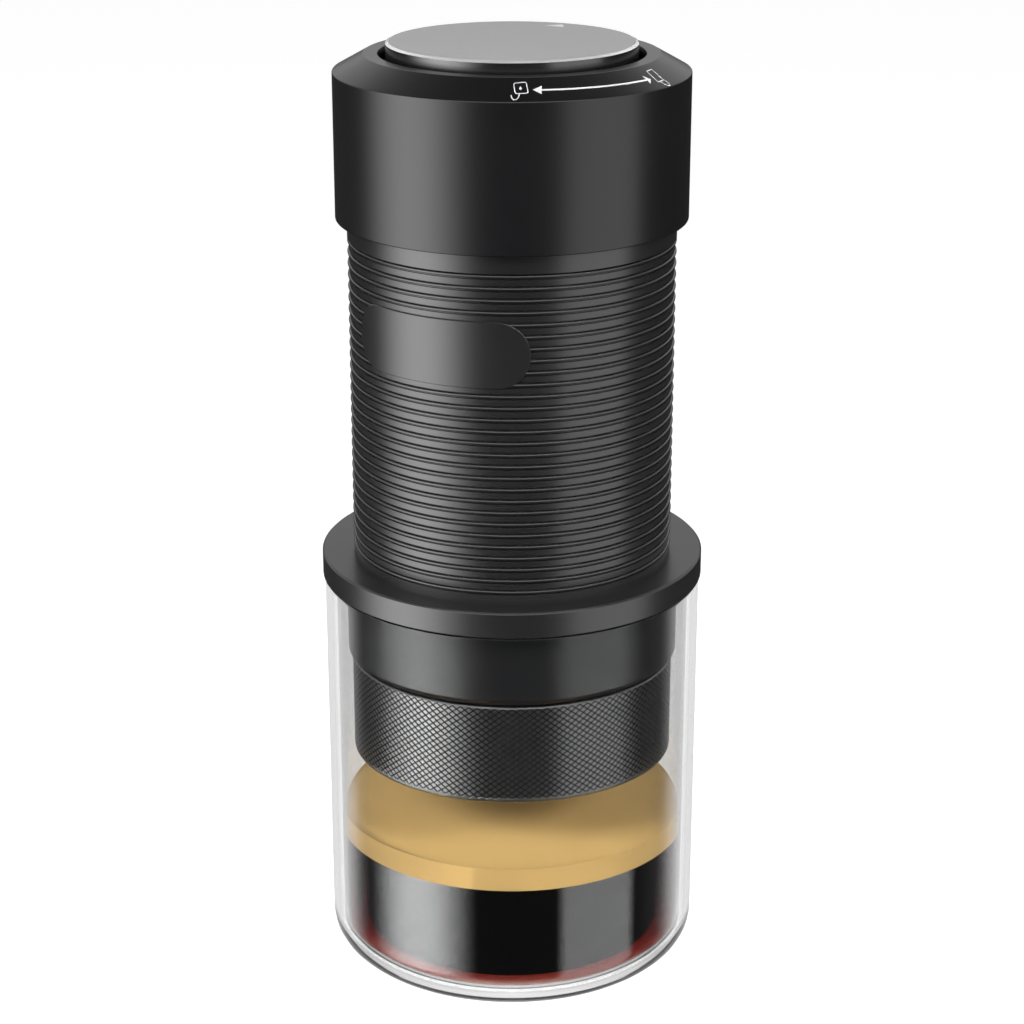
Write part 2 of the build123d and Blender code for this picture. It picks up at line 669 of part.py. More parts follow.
def deck_screws():
    """Three screws that hold the cylinder and the guide in the cap."""
    screw = disc(DECK_SCREW_RADIUS, guide_top - DECK_SCREW_LENGTH, guide_top)
    screw += disc(DECK_SCREW_HEAD, guide_top, guide_top + DECK_SCREW_HEAD_THICK)
    return Compound(children=circle_of(screw, deck_screw_circle, DECK_SCREWS, DECK_SCREW_TURN))


def cylinder_foot():
    """Plug in the cylinder's end: inlet holes from the tank and the outlet spigot."""
    spigot_end = foot_bottom - FOOT_SPIGOT
    body = turned((FOOT_BORE, spigot_end), (FOOT_SPIGOT_RADIUS, spigot_end),
                  (FOOT_SPIGOT_RADIUS, foot_bottom), (cylinder_radius, foot_bottom),
                  (cylinder_radius, cylinder_bottom), (CYLINDER_BORE - BOND, cylinder_bottom),
                  (CYLINDER_BORE - BOND, foot_top), (UPSTAND_RADIUS, foot_top),
                  (UPSTAND_RADIUS, upstand_top), (FOOT_BORE, upstand_top))
    inlet = disc(INLET_HOLE_RADIUS, foot_bottom - OVERCUT, foot_top + OVERCUT)
    body -= circle_of(inlet, INLET_CIRCLE, INLET_HOLES)
    centre = foot_bottom - FOOT_RING_DROP
    groove = FOOT_SPIGOT_RADIUS - 2 * FOOT_RING_RADIUS
    edge = FOOT_SPIGOT_RADIUS + OVERCUT
    return body - ring(groove, edge, centre - FOOT_RING_RADIUS, centre + FOOT_RING_RADIUS)


def foot_ring():
    """Sealing ring of the outlet spigot."""
    return rubber_ring(FOOT_SPIGOT_RADIUS, FOOT_RING_RADIUS, foot_bottom - FOOT_RING_DROP)


def inlet_flap():
    """Silicone disc that lets water up out of the tank and not back."""
    return ring(UPSTAND_RADIUS + RUN, FLAP_RADIUS, foot_top, foot_top + FLAP_THICK)


def flap_clip():
    """Clip that limits the flap's lift."""
    return ring(UPSTAND_RADIUS, UPSTAND_RADIUS + CLIP_WIDTH, clip_bottom, clip_bottom + CLIP_THICK)


def pump_rod():
    """Steel rod between piston and knob."""
    tap = disc(KNOB_SCREW_RADIUS + BOND, rod_top - KNOB_SCREW_BITE - BOND, rod_top)
    return disc(ROD_RADIUS, rod_bottom, rod_top) - tap


def piston():
    """Piston with two grooves for its sealing rings."""
    body = disc(piston_radius, piston_bottom, piston_top)
    body -= disc(ROD_RADIUS + BOND, rod_bottom - BOND, piston_top)
    groove = CYLINDER_BORE - BOND - 2 * SEAL_RADIUS
    for centre in (piston_bottom + SEAL_INSET, piston_top - SEAL_INSET):
        body -= ring(groove, piston_radius + OVERCUT, centre - SEAL_RADIUS, centre + SEAL_RADIUS)
    return body


def piston_seals():
    """The piston's two sealing rings."""
    heights = (piston_bottom + SEAL_INSET, piston_top - SEAL_INSET)
    return Compound(children=[rubber_ring(CYLINDER_BORE - BOND, SEAL_RADIUS, z) for z in heights])


def return_spring():
    """Lifts the knob after each push, shown pressed down."""
    return coil(RETURN_COIL, RETURN_WIRE, guide_top, hub_web_bottom, RETURN_TURNS)


def thrust_washer():
    """Washer that the knob turns under."""
    bottom = hub_seat_top + AXIAL
    return ring(KNOB_SCREW_RADIUS + BOND, WASHER_RADIUS, bottom, bottom + WASHER_THICK)


def knob_screw():
    """Screw that holds the knob's hub on the rod."""
    head = hub_seat_top + AXIAL + WASHER_THICK
    return (disc(KNOB_SCREW_RADIUS, rod_top - KNOB_SCREW_BITE, head)
            + disc(KNOB_SCREW_HEAD, head, head + KNOB_SCREW_HEAD_THICK))


# ---------------------------------------------------------------- knob
def knob_shell():
    """Turned knob: skirt, bevelled edge, recess for the plate and three bayonet lugs."""
    inner = knob_radius - KNOB_WALL
    rim = knob_radius - KNOB_BEVEL_WIDTH
    body = turned((inner, knob_bottom), (knob_radius, knob_bottom),
                  (knob_radius, knob_top - KNOB_BEVEL_DROP), (rim, knob_top), (rim, plate_bottom),
                  (ACCESS_RADIUS, plate_bottom), (ACCESS_RADIUS, deck_bottom), (inner, deck_bottom))
    for k in range(LUG_COUNT):
        body += sector(knob_radius - ROOT, knob_radius + LUG_REACH, knob_bottom, lug_top,
                       FULL_TURN * k / LUG_COUNT, LUG_SPAN)
    seat = disc(HUB_SCREW_HEAD + BOND, plate_bottom - HUB_SCREW_HEAD_THICK - BOND, plate_bottom + OVERCUT)
    seat += disc(HUB_SCREW_RADIUS + BOND, deck_bottom - OVERCUT, plate_bottom)
    return body - circle_of(seat, hub_screw_circle, HUB_SCREWS)


def knob_plate():
    """Plain light plate set flush in the knob's top."""
    return turned((0, plate_bottom), (plate_radius, plate_bottom), (plate_radius, knob_top - PLATE_BEVEL),
                  (plate_radius - PLATE_BEVEL, knob_top), (0, knob_top))


def knob_hub():
    """Moulded hub that carries the knob shell and turns on the rod."""
    bore = ROD_RADIUS + RUN
    body = turned((bore, guide_top), (HUB_TUBE_RADIUS, guide_top), (HUB_TUBE_RADIUS, hub_web_bottom),
                  (hub_radius, hub_web_bottom), (hub_radius, deck_bottom),
                  (WASHER_RADIUS + FREE, deck_bottom), (WASHER_RADIUS + FREE, hub_seat_top),
                  (KNOB_SCREW_RADIUS + FREE, hub_seat_top), (KNOB_SCREW_RADIUS + FREE, hub_seat),
                  (bore, hub_seat))
    inner = RETURN_COIL + RETURN_WIRE + FREE
    outer = hub_radius - FREE
    rib = Pos(0, 0, hub_web_bottom - HUB_RIB_DEPTH / 2) * Box(outer - inner, HUB_RIB_THICK, HUB_RIB_DEPTH)
    middle = (outer + inner) / 2
    for copy in circle_of(rib, middle, HUB_RIBS, HUB_RIB_TURN):
        body += copy
    pilot = disc(HUB_SCREW_RADIUS + BOND, hub_web_bottom - OVERCUT, deck_bottom + OVERCUT)
    return body - circle_of(pilot, hub_screw_circle, HUB_SCREWS)


def hub_screws():
    """Three screws between the knob shell and its hub."""
    head_bottom = plate_bottom - HUB_SCREW_HEAD_THICK
    screw = disc(HUB_SCREW_HEAD, head_bottom, plate_bottom - BOND)
    screw += disc(HUB_SCREW_RADIUS, head_bottom - HUB_SCREW_LENGTH, head_bottom)
    return Compound(children=circle_of(screw, hub_screw_circle, HUB_SCREWS))


PIECES = [
    cup_outer_wall, cup_inner_vessel, espresso, crema,
    brew_collar, cup_flange, rim_gasket, head_core, core_ring,
    outlet_retainer, outlet_poppet, outlet_spring, shower_screen, screen_screw, head_gasket,
    filter_holder, spout_plate, filter_basket, coffee_puck,
    tank_sleeve, tank_liner, tank_gasket,
    cap_shell, cap_insert, cap_seal,
    pump_cylinder, cylinder_gasket, rod_guide, deck_screws,
    cylinder_foot, foot_ring, inlet_flap, flap_clip,
    pump_rod, piston, piston_seals, return_spring, thrust_washer, knob_screw,
    knob_shell, knob_plate, knob_hub, hub_screws,
]

os.makedirs("parts", exist_ok=True)
for piece in PIECES:
    shape = piece()
    export_step(shape, f"parts/{piece.__name__}.step")
    print(f"{piece.__name__:18s} {shape.volume / 1000:9.3f} cm3")
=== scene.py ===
# %% [markdown]
# # A hand-pumped espresso maker on its glass cup
# This lesson dresses a finished CAD model. The CAD file has every piece at its real size, and the frame
# loaded below holds them all in place. Blender adds what the eye needs: soft edges, fine grooves, a real
# knurl, clear glass, coffee with light in it, and a studio. Everything here is in metres, with Z up.

import json
import math

import bpy
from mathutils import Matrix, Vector


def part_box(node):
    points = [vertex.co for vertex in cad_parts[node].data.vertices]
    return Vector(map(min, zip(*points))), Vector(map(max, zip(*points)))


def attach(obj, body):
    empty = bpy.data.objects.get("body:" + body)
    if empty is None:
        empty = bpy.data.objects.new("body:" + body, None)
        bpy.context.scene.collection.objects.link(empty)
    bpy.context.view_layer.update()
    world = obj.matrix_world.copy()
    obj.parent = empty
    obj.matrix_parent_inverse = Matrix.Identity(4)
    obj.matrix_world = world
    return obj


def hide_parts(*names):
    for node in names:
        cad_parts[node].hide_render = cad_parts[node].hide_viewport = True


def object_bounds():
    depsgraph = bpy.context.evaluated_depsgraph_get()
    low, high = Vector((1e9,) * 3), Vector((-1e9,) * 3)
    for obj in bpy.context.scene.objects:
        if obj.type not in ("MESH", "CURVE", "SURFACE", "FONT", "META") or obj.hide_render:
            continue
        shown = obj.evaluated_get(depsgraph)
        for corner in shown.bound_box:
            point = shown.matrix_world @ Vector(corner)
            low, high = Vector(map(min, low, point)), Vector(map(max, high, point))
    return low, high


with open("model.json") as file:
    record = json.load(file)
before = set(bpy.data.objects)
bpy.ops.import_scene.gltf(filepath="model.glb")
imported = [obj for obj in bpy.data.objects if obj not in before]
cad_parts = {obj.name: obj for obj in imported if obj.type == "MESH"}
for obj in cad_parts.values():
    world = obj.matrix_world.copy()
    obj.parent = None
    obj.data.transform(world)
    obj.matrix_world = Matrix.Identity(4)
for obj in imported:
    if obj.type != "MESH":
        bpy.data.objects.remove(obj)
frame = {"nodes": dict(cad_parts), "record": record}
cad_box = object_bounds()
scene = bpy.context.scene
MM = 0.001
print("CAD pieces:", len(frame["nodes"]))

# %% [markdown]
# ## The camera
# The camera comes first, because it decides which details are worth making. It stands in front of the
# object, a little above it, and looks slightly down. A long lens keeps the upright sides nearly parallel.

# %% Camera
CAMERA_BACK = 441.7 * MM
CAMERA_HEIGHT = 246.5 * MM
CAMERA_TILT = 70.16  # degrees from looking straight down
CAMERA_LENS = 87.11  # mm

camera_data = bpy.data.cameras.new("camera")
camera_data.lens = CAMERA_LENS
camera = bpy.data.objects.new("camera", camera_data)
camera.location = (0, -CAMERA_BACK, CAMERA_HEIGHT)
camera.rotation_euler = (math.radians(CAMERA_TILT), 0, 0)
scene.collection.objects.link(camera)
scene.camera = camera
print("camera at", tuple(round(x, 4) for x in camera.location))

# %% [markdown]
# ## Turning on a lathe
# Almost every outer piece of this object was cut on a lathe, so the script has a lathe too. It takes the
# outline of half a section, rounds the corners that the real tool rounds, and spins it round the Z axis.
# Blender's Screw modifier could do this, but a mesh made in code lets one outline hold both sharp and
# round corners. Two extra points beside each rounding keep the flat faces next to it shaded flat.

# %% Lathe tools
SEGMENTS = 256  # steps round a full turn
ROUND_STEPS = 5  # steps in one rounded corner
SUPPORT = 0.3  # support points, as a share of the rounding
SHARP = math.radians(32)  # edges that bend more than this stay crisp
ON_AXIS = 1e-7  # a radius below this counts as a point on the axis
FULL_TURN = [2 * math.pi * k / SEGMENTS for k in range(SEGMENTS)]


def soften(*corners):
    """A closed outline from corners of (radius, height), each with a rounding or without one."""
    outline = []
    for k, corner in enumerate(corners):
        here = Vector(corner[:2])
        if len(corner) == 2:
            outline.append(here)
            continue
        rounding = corner[2]
        back = (Vector(corners[k - 1][:2]) - here).normalized()
        onward = (Vector(corners[(k + 1) % len(corners)][:2]) - here).normalized()
        half = back.angle(onward) / 2
        reach = rounding / math.tan(half)
        centre = here + (back + onward).normalized() * (rounding / math.sin(half))
        first = here + back * reach - centre
        last = here + onward * reach - centre
        start = math.atan2(first.y, first.x)
        sweep = math.atan2(first.x * last.y - first.y * last.x, first.dot(last))
        outline.append(here + back * (reach + SUPPORT * rounding))
        for step in range(ROUND_STEPS + 1):
            angle = start + sweep * step / ROUND_STEPS
            outline.append(centre + Vector((math.cos(angle), math.sin(angle))) * rounding)
        outline.append(here + onward * (reach + SUPPORT * rounding))
    return outline


def make_piece(name, points, faces, *looks):
    """A smooth-shaded object with its sharp edges kept. Its looks are one material or more."""
    mesh = bpy.data.meshes.new(name)
    mesh.from_pydata([tuple(p) for p in points], [], faces)
    mesh.validate()
    mesh.polygons.foreach_set("use_smooth", [True] * len(mesh.polygons))
    mesh.set_sharp_from_angle(angle=SHARP)
    for look in looks:
        mesh.materials.append(look)
    piece = bpy.data.objects.new(name, mesh)
    scene.collection.objects.link(piece)
    return piece


def spin(points, faces, outline, turn, closed=True, full=True):
    """Spins an outline of (radius, height) through a list of angles, and returns its rows of points."""
    rows = []
    for radius, height in outline:
        start = len(points)
        if radius < ON_AXIS:
            points.append((0, 0, height))
            rows.append([start] * len(turn))
        else:
            points += [(radius * math.cos(angle), radius * math.sin(angle), height) for angle in turn]
            rows.append(list(range(start, start + len(turn))))
    for below, above in zip(rows, rows[1:] + rows[:closed]):
        if below[0] == below[1] and above[0] == above[1]:
            continue
        for k in range(len(turn) if full else len(turn) - 1):
            n = (k + 1) % len(turn)
            faces.append(list(dict.fromkeys((below[k], below[n], above[n], above[k]))))
    if not full:
        faces += [[row[0] for row in rows], [row[-1] for row in reversed(rows)]]
    return rows


def lathe(name, look, *outlines):
    """One piece from closed outlines, each spun round Z. An outline that runs clockwise is a hollow."""
    points, faces = [], []
    for outline in outlines:
        spin(points, faces, outline, FULL_TURN)
    return make_piece(name, points, faces, look)


def measure(node):
    """The radius, the bottom and the top of a round CAD piece."""
    low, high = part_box(node)
    return high.x, low.z, high.z


print("cup radius from the frame:", round(measure("cup_outer_wall")[0] / MM, 2), "mm")

# %% [markdown]
# ## Shared effects, as node groups
# Several finishes share the same small effects, so each effect is a node group that is built once. The
# first is the faint trail that a lathe tool leaves: very fine rings round the axis. Noise that is
# squeezed along the radius and the height, and stretched the other way, gives such rings on walls and on
# flat tops alike. A group puts out only masks and heights; the shader itself stays in each material.

# %% Node group helpers
def new_group(name, inputs, outputs):
    """An empty shader group with number sockets. Inputs are (name, value)."""
    group = bpy.data.node_groups.new(name, "ShaderNodeTree")
    for label, value in inputs:
        socket = group.interface.new_socket(label, in_out="INPUT", socket_type="NodeSocketFloat")
        socket.default_value = value
    for label in outputs:
        group.interface.new_socket(label, in_out="OUTPUT", socket_type="NodeSocketFloat")
    return group, group.nodes.new("NodeGroupInput"), group.nodes.new("NodeGroupOutput")


def feed(tree, value, socket):
    """Writes a plain number into a socket, or links another socket to it."""
    if isinstance(value, (int, float)):
        socket.default_value = value
    else:
        tree.links.new(value, socket)


def maths(tree, operation, first, second=0.0):
    """A maths node. Each side is a socket or a plain number."""
    node = tree.nodes.new("ShaderNodeMath")
    node.operation = operation
    feed(tree, first, node.inputs[0])
    feed(tree, second, node.inputs[1])
    return node.outputs[0]


def noise_node(tree, vector, scale, detail=2.0):
    """A noise texture's value, from a place and a scale that are both sockets."""
    node = tree.nodes.new("ShaderNodeTexNoise")
    node.inputs["Detail"].default_value = detail
    tree.links.new(vector, node.inputs["Vector"])
    tree.links.new(scale, node.inputs["Scale"])
    return node.outputs["Fac"]


def object_place(tree):
    """The point on the piece, in metres, from its own origin."""
    return tree.nodes.new("ShaderNodeTexCoord").outputs["Object"]


# %% Turning rings
RING_SHARE = 0.02  # how fast the rings change along the cut, against across it

turning_rings, group_in, group_out = new_group("turning_rings", [("Fineness", 9000.0)], ["Rings"])
tree = turning_rings
parts = tree.nodes.new("ShaderNodeSeparateXYZ")
tree.links.new(object_place(tree), parts.inputs[0])
squeezed = tree.nodes.new("ShaderNodeCombineXYZ")
squares = []
for axis in ("X", "Y"):
    side = parts.outputs[axis]
    squares.append(maths(tree, "MULTIPLY", side, side))
    slow = maths(tree, "MULTIPLY", side, RING_SHARE)
    tree.links.new(slow, squeezed.inputs[axis])
radius = maths(tree, "SQRT", maths(tree, "ADD", *squares))
depth = maths(tree, "ADD", radius, parts.outputs["Z"])
tree.links.new(depth, squeezed.inputs["Z"])
rings = noise_node(tree, squeezed.outputs[0], group_in.outputs["Fineness"])
tree.links.new(rings, group_out.inputs["Rings"])
print("made", turning_rings.name)

# %% [markdown]
# The second effect is the matt skin that bead blasting and moulding leave: tiny pits, all alike in every
# direction. The third is the slow, soft change in gloss that any handled surface has.

# %% Fine pits and soft wear
fine_pits, group_in, group_out = new_group("fine_pits", [("Fineness", 6000.0)], ["Pits"])
pits = noise_node(fine_pits, object_place(fine_pits), group_in.outputs["Fineness"], detail=4.0)
fine_pits.links.new(pits, group_out.inputs["Pits"])

soft_wear, group_in, group_out = new_group("soft_wear", [("Size", 60.0)], ["Wear"])
wear = noise_node(soft_wear, object_place(soft_wear), group_in.outputs["Size"], detail=3.0)
soft_wear.links.new(wear, group_out.inputs["Wear"])
print("made", fine_pits.name, "and", soft_wear.name)

# %% [markdown]
# ## Finishes
# Each finish is one Principled shader with the groups wired in. Wear moves the colour between two close
# tones and the roughness between two close values, and rings or pits feed a very weak bump. Black
# anodising is a hard dark skin on aluminium: it shows clear but soft reflections of the lamps, so its
# colour is nearly black and its gloss does the work.

# %% Finish builder
GRAIN_DEPTH = 0.02 * MM  # the height that the bump takes a group's full swing to be


def new_finish(name, dark, light, rough, grain=None, fineness=1.0, bump=0.0, wear_size=60.0, **sockets):
    """A material. Dark and light are two close colours, rough is (low, high), and grain is a group with
    its fineness and the strength of its bump. Any other word is a socket of the shader."""
    material = bpy.data.materials.new(name + "_finish")
    material.use_nodes = True
    tree = material.node_tree
    shader = tree.nodes["Principled BSDF"]
    for label, value in sockets.items():
        shader.inputs[label.replace("_", " ")].default_value = value

    worn = tree.nodes.new("ShaderNodeGroup")
    worn.node_tree = soft_wear
    worn.inputs["Size"].default_value = wear_size
    colour = tree.nodes.new("ShaderNodeMix")
    colour.data_type = "RGBA"
    colour.inputs["A"].default_value = (*dark, 1)
    colour.inputs["B"].default_value = (*light, 1)
    tree.links.new(worn.outputs["Wear"], colour.inputs["Factor"])
    tree.links.new(colour.outputs["Result"], shader.inputs["Base Color"])

    gloss = tree.nodes.new("ShaderNodeMapRange")
    gloss.inputs["To Min"].default_value, gloss.inputs["To Max"].default_value = rough
    tree.links.new(worn.outputs["Wear"], gloss.inputs["Value"])
    tree.links.new(gloss.outputs["Result"], shader.inputs["Roughness"])

    if grain is None:
        return material
    texture = tree.nodes.new("ShaderNodeGroup")
    texture.node_tree = grain
    texture.inputs["Fineness"].default_value = fineness
    relief = tree.nodes.new("ShaderNodeBump")
    relief.inputs["Strength"].default_value = bump
    relief.inputs["Distance"].default_value = GRAIN_DEPTH
    tree.links.new(texture.outputs[0], relief.inputs["Height"])
    tree.links.new(relief.outputs["Normal"], shader.inputs["Normal"])
    return material


finishes = {}


def slot_finish(name, *look, **sockets):
    """A finish that is kept under the name of its slot in the CAD model."""
    finishes[name] = new_finish(name, *look, **sockets)


slot_finish(
    "black_anodised", (0.005, 0.005, 0.0055), (0.008, 0.008, 0.0085), (0.29, 0.33),
    turning_rings, 9000.0, 0.03, IOR=1.65)
slot_finish(
    "ribbed_anodised", (0.006, 0.006, 0.0065), (0.009, 0.009, 0.0095), (0.26, 0.31),
    fine_pits, 5000.0, 0.05, IOR=1.65)
slot_finish(
    "knurled_anodised", (0.009, 0.009, 0.0095), (0.012, 0.012, 0.0125), (0.28, 0.32),
    fine_pits, 6000.0, 0.03, IOR=2.25)
# The groove finish is painted shade: a dull, weakly reflecting skin on the knurl's groove faces that
# stands in for the shade down in the grooves.
groove_shade_finish = new_finish(
    "groove", (0.013, 0.013, 0.0135), (0.017, 0.017, 0.0175), (0.6, 0.7),
    fine_pits, 6000.0, 0.1, IOR=1.15)
slot_finish(
    "knob_anodised", (0.006, 0.006, 0.0065), (0.009, 0.009, 0.0095), (0.21, 0.25),
    turning_rings, 9000.0, 0.03, IOR=1.8)
cap_finish = new_finish(
    "cap", (0.003, 0.003, 0.0035), (0.005, 0.005, 0.0055), (0.28, 0.31),
    turning_rings, 9000.0, 0.03)
slot_finish(
    "grey_plate", (0.300, 0.300, 0.302), (0.320, 0.320, 0.322), (0.42, 0.50),
    fine_pits, 7000.0, 0.3)
slot_finish(
    "black_moulding", (0.018, 0.018, 0.019), (0.028, 0.028, 0.029), (0.42, 0.55),
    fine_pits, 4000.0, 0.4)
slot_finish(
    "smoke_moulding", (0.050, 0.052, 0.056), (0.075, 0.078, 0.082), (0.30, 0.42),
    fine_pits, 3000.0, 0.3)
slot_finish(
    "silicone", (0.030, 0.030, 0.031), (0.050, 0.050, 0.051), (0.60, 0.72),
    fine_pits, 3500.0, 0.5)
slot_finish(
    "stainless", (0.50, 0.50, 0.51), (0.60, 0.60, 0.60), (0.22, 0.34),
    turning_rings, 7000.0, 0.3, Metallic=1.0)
slot_finish(
    "spring_steel", (0.40, 0.39, 0.38), (0.52, 0.51, 0.49), (0.25, 0.35),
    fine_pits, 5000.0, 0.3, Metallic=1.0)
slot_finish(
    "ground_coffee", (0.010, 0.005, 0.003), (0.045, 0.022, 0.010), (0.80, 0.95),
    fine_pits, 1400.0, 1.0, wear_size=1500.0)
print("finishes:", ", ".join(sorted(finishes)))

# %% [markdown]
# The edge cut on the knob and the printed marks are bright. The cut goes through the black skin into bare
# aluminium, so it is a metal. The print is a plain white ink, a little rough.

# %% Bright cut and white print
bright_cut = new_finish(
    "bright_cut", (0.86, 0.86, 0.87), (0.92, 0.92, 0.93), (0.20, 0.24),
    turning_rings, 12000.0, 0.03, Metallic=0.6)
white_print = new_finish(
    "white_print", (0.70, 0.70, 0.70), (0.78, 0.78, 0.78), (0.50, 0.60),
    fine_pits, 9000.0, 0.2)
print("made", bright_cut.name, "and", white_print.name)

# %% [markdown]
# ## Glass, coffee and foam
# The glass is a plain clear shader. What makes it look like glass is its shape: real wall thickness on
# both sides of a sealed air gap. The coffee is clear too, and its colour comes from light being absorbed
# on its way through, which is why it is black in the middle and red-brown wherever it is thin.

# %% Glass
GLASS_IOR = 1.47

clear_glass = new_finish(
    "clear_glass", (0.985, 0.99, 0.988), (1.0, 1.0, 1.0), (0.0, 0.0), wear_size=40.0,
    IOR=GLASS_IOR, Transmission_Weight=1.0)

# %% Coffee and foam
COFFEE_TINT = (0.765, 0.19, 0.09)  # what is left of white light on its way through
COFFEE_STRENGTH = 560.0  # how fast it is absorbed, per metre
COFFEE_SHINE = 1.93  # how strongly its face shines through the glass

coffee = new_finish(
    "coffee", (0.96, 0.94, 0.92), (1.0, 0.98, 0.96), (0.0, 0.0), wear_size=90.0,
    IOR=1.0, Transmission_Weight=1.0, Coat_Weight=1.0, Coat_IOR=COFFEE_SHINE, Coat_Roughness=0.0)
absorber = coffee.node_tree.nodes.new("ShaderNodeVolumeAbsorption")
absorber.inputs["Color"].default_value = (*COFFEE_TINT, 1)
absorber.inputs["Density"].default_value = COFFEE_STRENGTH
output = coffee.node_tree.nodes["Material Output"]
coffee.node_tree.links.new(absorber.outputs["Volume"], output.inputs["Volume"])

dark_coffee = new_finish(
    "dark_coffee", (0.004, 0.003, 0.003), (0.006, 0.004, 0.003), (0.5, 0.6), wear_size=90.0, IOR=1.05)

foam = new_finish(
    "foam", (0.76, 0.50, 0.182), (0.86, 0.576, 0.223), (0.38, 0.52), fine_pits, 1500.0, 0.5,
    wear_size=130.0)
print("made", clear_glass.name, coffee.name, dark_coffee.name, foam.name)

# %% [markdown]
# ## The glass cup
# The cup is blown in two walls that are fused at the rim, with sealed air between them. It is one body of
# glass with a hollow inside, so it is one mesh: an outer skin and, turned inside out, the skin of the
# hollow. The CAD model has the two walls as two solids, and this one piece stands for both.

# %% Glass cup
CUP_WALL = 1.3 * MM
CUP_BASE = 1.8 * MM
CUP_FOOT_ROUND = 4.93 * MM
VESSEL_WALL = 0.6 * MM
VESSEL_FLOOR = 0.8 * MM
VESSEL_DROP = 2.4 * MM  # the vessel hangs lower than in the CAD model
VESSEL_ROUND = 3.2 * MM
AIR_GAP = 0.8 * MM
RIM_HEIGHT = 0.7 * MM
RIM_ROUND = 0.15 * MM
GAP_ROUND = 0.3 * MM

cup_radius, _, _ = measure("cup_outer_wall")
_, cad_bottom, cup_top = measure("cup_inner_vessel")
vessel_bottom = cad_bottom - VESSEL_DROP
vessel_radius = cup_radius - CUP_WALL - AIR_GAP
vessel_bore = vessel_radius - VESSEL_WALL
vessel_floor = vessel_bottom + VESSEL_FLOOR
gap_top = cup_top - RIM_HEIGHT

cup_skin = soften(
    (0, 0), (cup_radius, 0, CUP_FOOT_ROUND), (cup_radius, cup_top, RIM_ROUND),
    (vessel_bore, cup_top, RIM_ROUND), (vessel_bore, vessel_floor, VESSEL_ROUND - VESSEL_WALL),
    (0, vessel_floor))
hollow = soften(
    (0, CUP_BASE), (cup_radius - CUP_WALL, CUP_BASE, CUP_FOOT_ROUND - CUP_WALL),
    (cup_radius - CUP_WALL, gap_top, GAP_ROUND), (vessel_radius, gap_top, GAP_ROUND),
    (vessel_radius, vessel_bottom, VESSEL_ROUND), (0, vessel_bottom))
glass_cup = lathe("glass_cup", clear_glass, cup_skin, hollow[::-1])
glass_cup.visible_shadow = False
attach(glass_cup, "cup")
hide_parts("cup_outer_wall", "cup_inner_vessel")
print("glass cup:", len(glass_cup.data.polygons), "faces")

# %% [markdown]
# ## The coffee and its foam
# The coffee is a clear, coloured body that fills the vessel, with a dark core in it. Near the wall the
# light still gets through, and there it glows red. The foam is a thick layer that floats on top, with a
# small raised edge where it creeps up the wall.

# %% Coffee and foam pieces
CLING = 0.02 * MM  # a sliver of air between the drink and its glass
FOAM_CREEP = 0.15 * MM  # how far the foam climbs the wall
FOAM_EDGE = 1.2 * MM  # how wide that raised edge is
FOAM_SUPPORT = 3 * FOAM_EDGE  # a row of points here keeps the flat middle shaded flat
CREEP_STEPS = 8
CREEP_POWER = 3  # a higher power keeps the raised edge closer to the wall
CORE_INSET = 4.2 * MM
CORE_LIFT = 1.0 * MM
CORE_ROUND = 0.6 * MM

wet_radius = vessel_bore - CLING
_, _, coffee_top = measure("espresso")
_, _, foam_top = measure("crema")
drink = lathe("espresso_drink", coffee, soften(
    (0, vessel_floor + CLING), (wet_radius, vessel_floor + CLING, VESSEL_ROUND - VESSEL_WALL),
    (wet_radius, coffee_top), (0, coffee_top)))
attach(drink, "cup")
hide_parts("espresso")
drink_core = lathe("espresso_core", dark_coffee, soften(
    (0, vessel_floor + CORE_LIFT), (wet_radius - CORE_INSET, vessel_floor + CORE_LIFT, CORE_ROUND),
    (wet_radius - CORE_INSET, coffee_top - CLING), (0, coffee_top - CLING)))
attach(drink_core, "cup")

creep = []
for step in range(CREEP_STEPS + 1):
    share = step / CREEP_STEPS
    climb = FOAM_CREEP * (1 - share) ** CREEP_POWER
    creep.append((wet_radius - FOAM_EDGE * share, foam_top + climb))
foam_layer = lathe("crema_foam", foam, [
    (0, coffee_top), (wet_radius, coffee_top), *creep,
    (wet_radius - FOAM_SUPPORT, foam_top), (0, foam_top)])
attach(foam_layer, "cup")
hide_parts("crema")
print("drink is", round((foam_top - vessel_floor) / MM, 1), "mm deep")

# %% [markdown]
# ## The brew head: flange ring and collar
# The broad ring rests on the cup, and the collar below it stands inside the glass. Both are plain turned
# shapes, so their quality lies in their edges. A sharp edge on a real part is a tiny round that catches a
# line of light, and here each edge has one.

# %% Flange ring
EDGE = 0.18 * MM  # the round on an edge that only looks sharp
FLANGE_BEVEL = 0.35 * MM
GASKET_WIDTH = 3.2 * MM
GASKET_THICK = 1.2 * MM
FLANGE_FIT = 0.05 * MM
SLEEVE_WALL = 1.2 * MM
RIB_PROUD = 0.3 * MM

flange_radius, flange_bottom, flange_top = measure("cup_flange")
rib_radius, _, sleeve_top = measure("tank_sleeve")
sleeve_bore = rib_radius - RIB_PROUD - SLEEVE_WALL
gasket_outer, _, _ = measure("rim_gasket")
gasket_inner = gasket_outer - GASKET_WIDTH
gasket_top = flange_bottom + GASKET_THICK

flange_ring = lathe("flange_ring", finishes["black_anodised"], soften(
    (sleeve_bore, flange_bottom), (gasket_inner, flange_bottom), (gasket_inner, gasket_top),
    (gasket_outer, gasket_top), (gasket_outer, flange_bottom), (flange_radius, flange_bottom, EDGE),
    (flange_radius, flange_top - FLANGE_BEVEL, EDGE), (flange_radius - FLANGE_BEVEL, flange_top, EDGE),
    (sleeve_bore, flange_top)))
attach(flange_ring, "maker")
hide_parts("cup_flange")

# %% Collar
COLLAR_WALL = 3.49 * MM
COLLAR_BEVEL = 1.0 * MM
NECK_WALL = 1.85 * MM
SHOULDER = 2.0 * MM

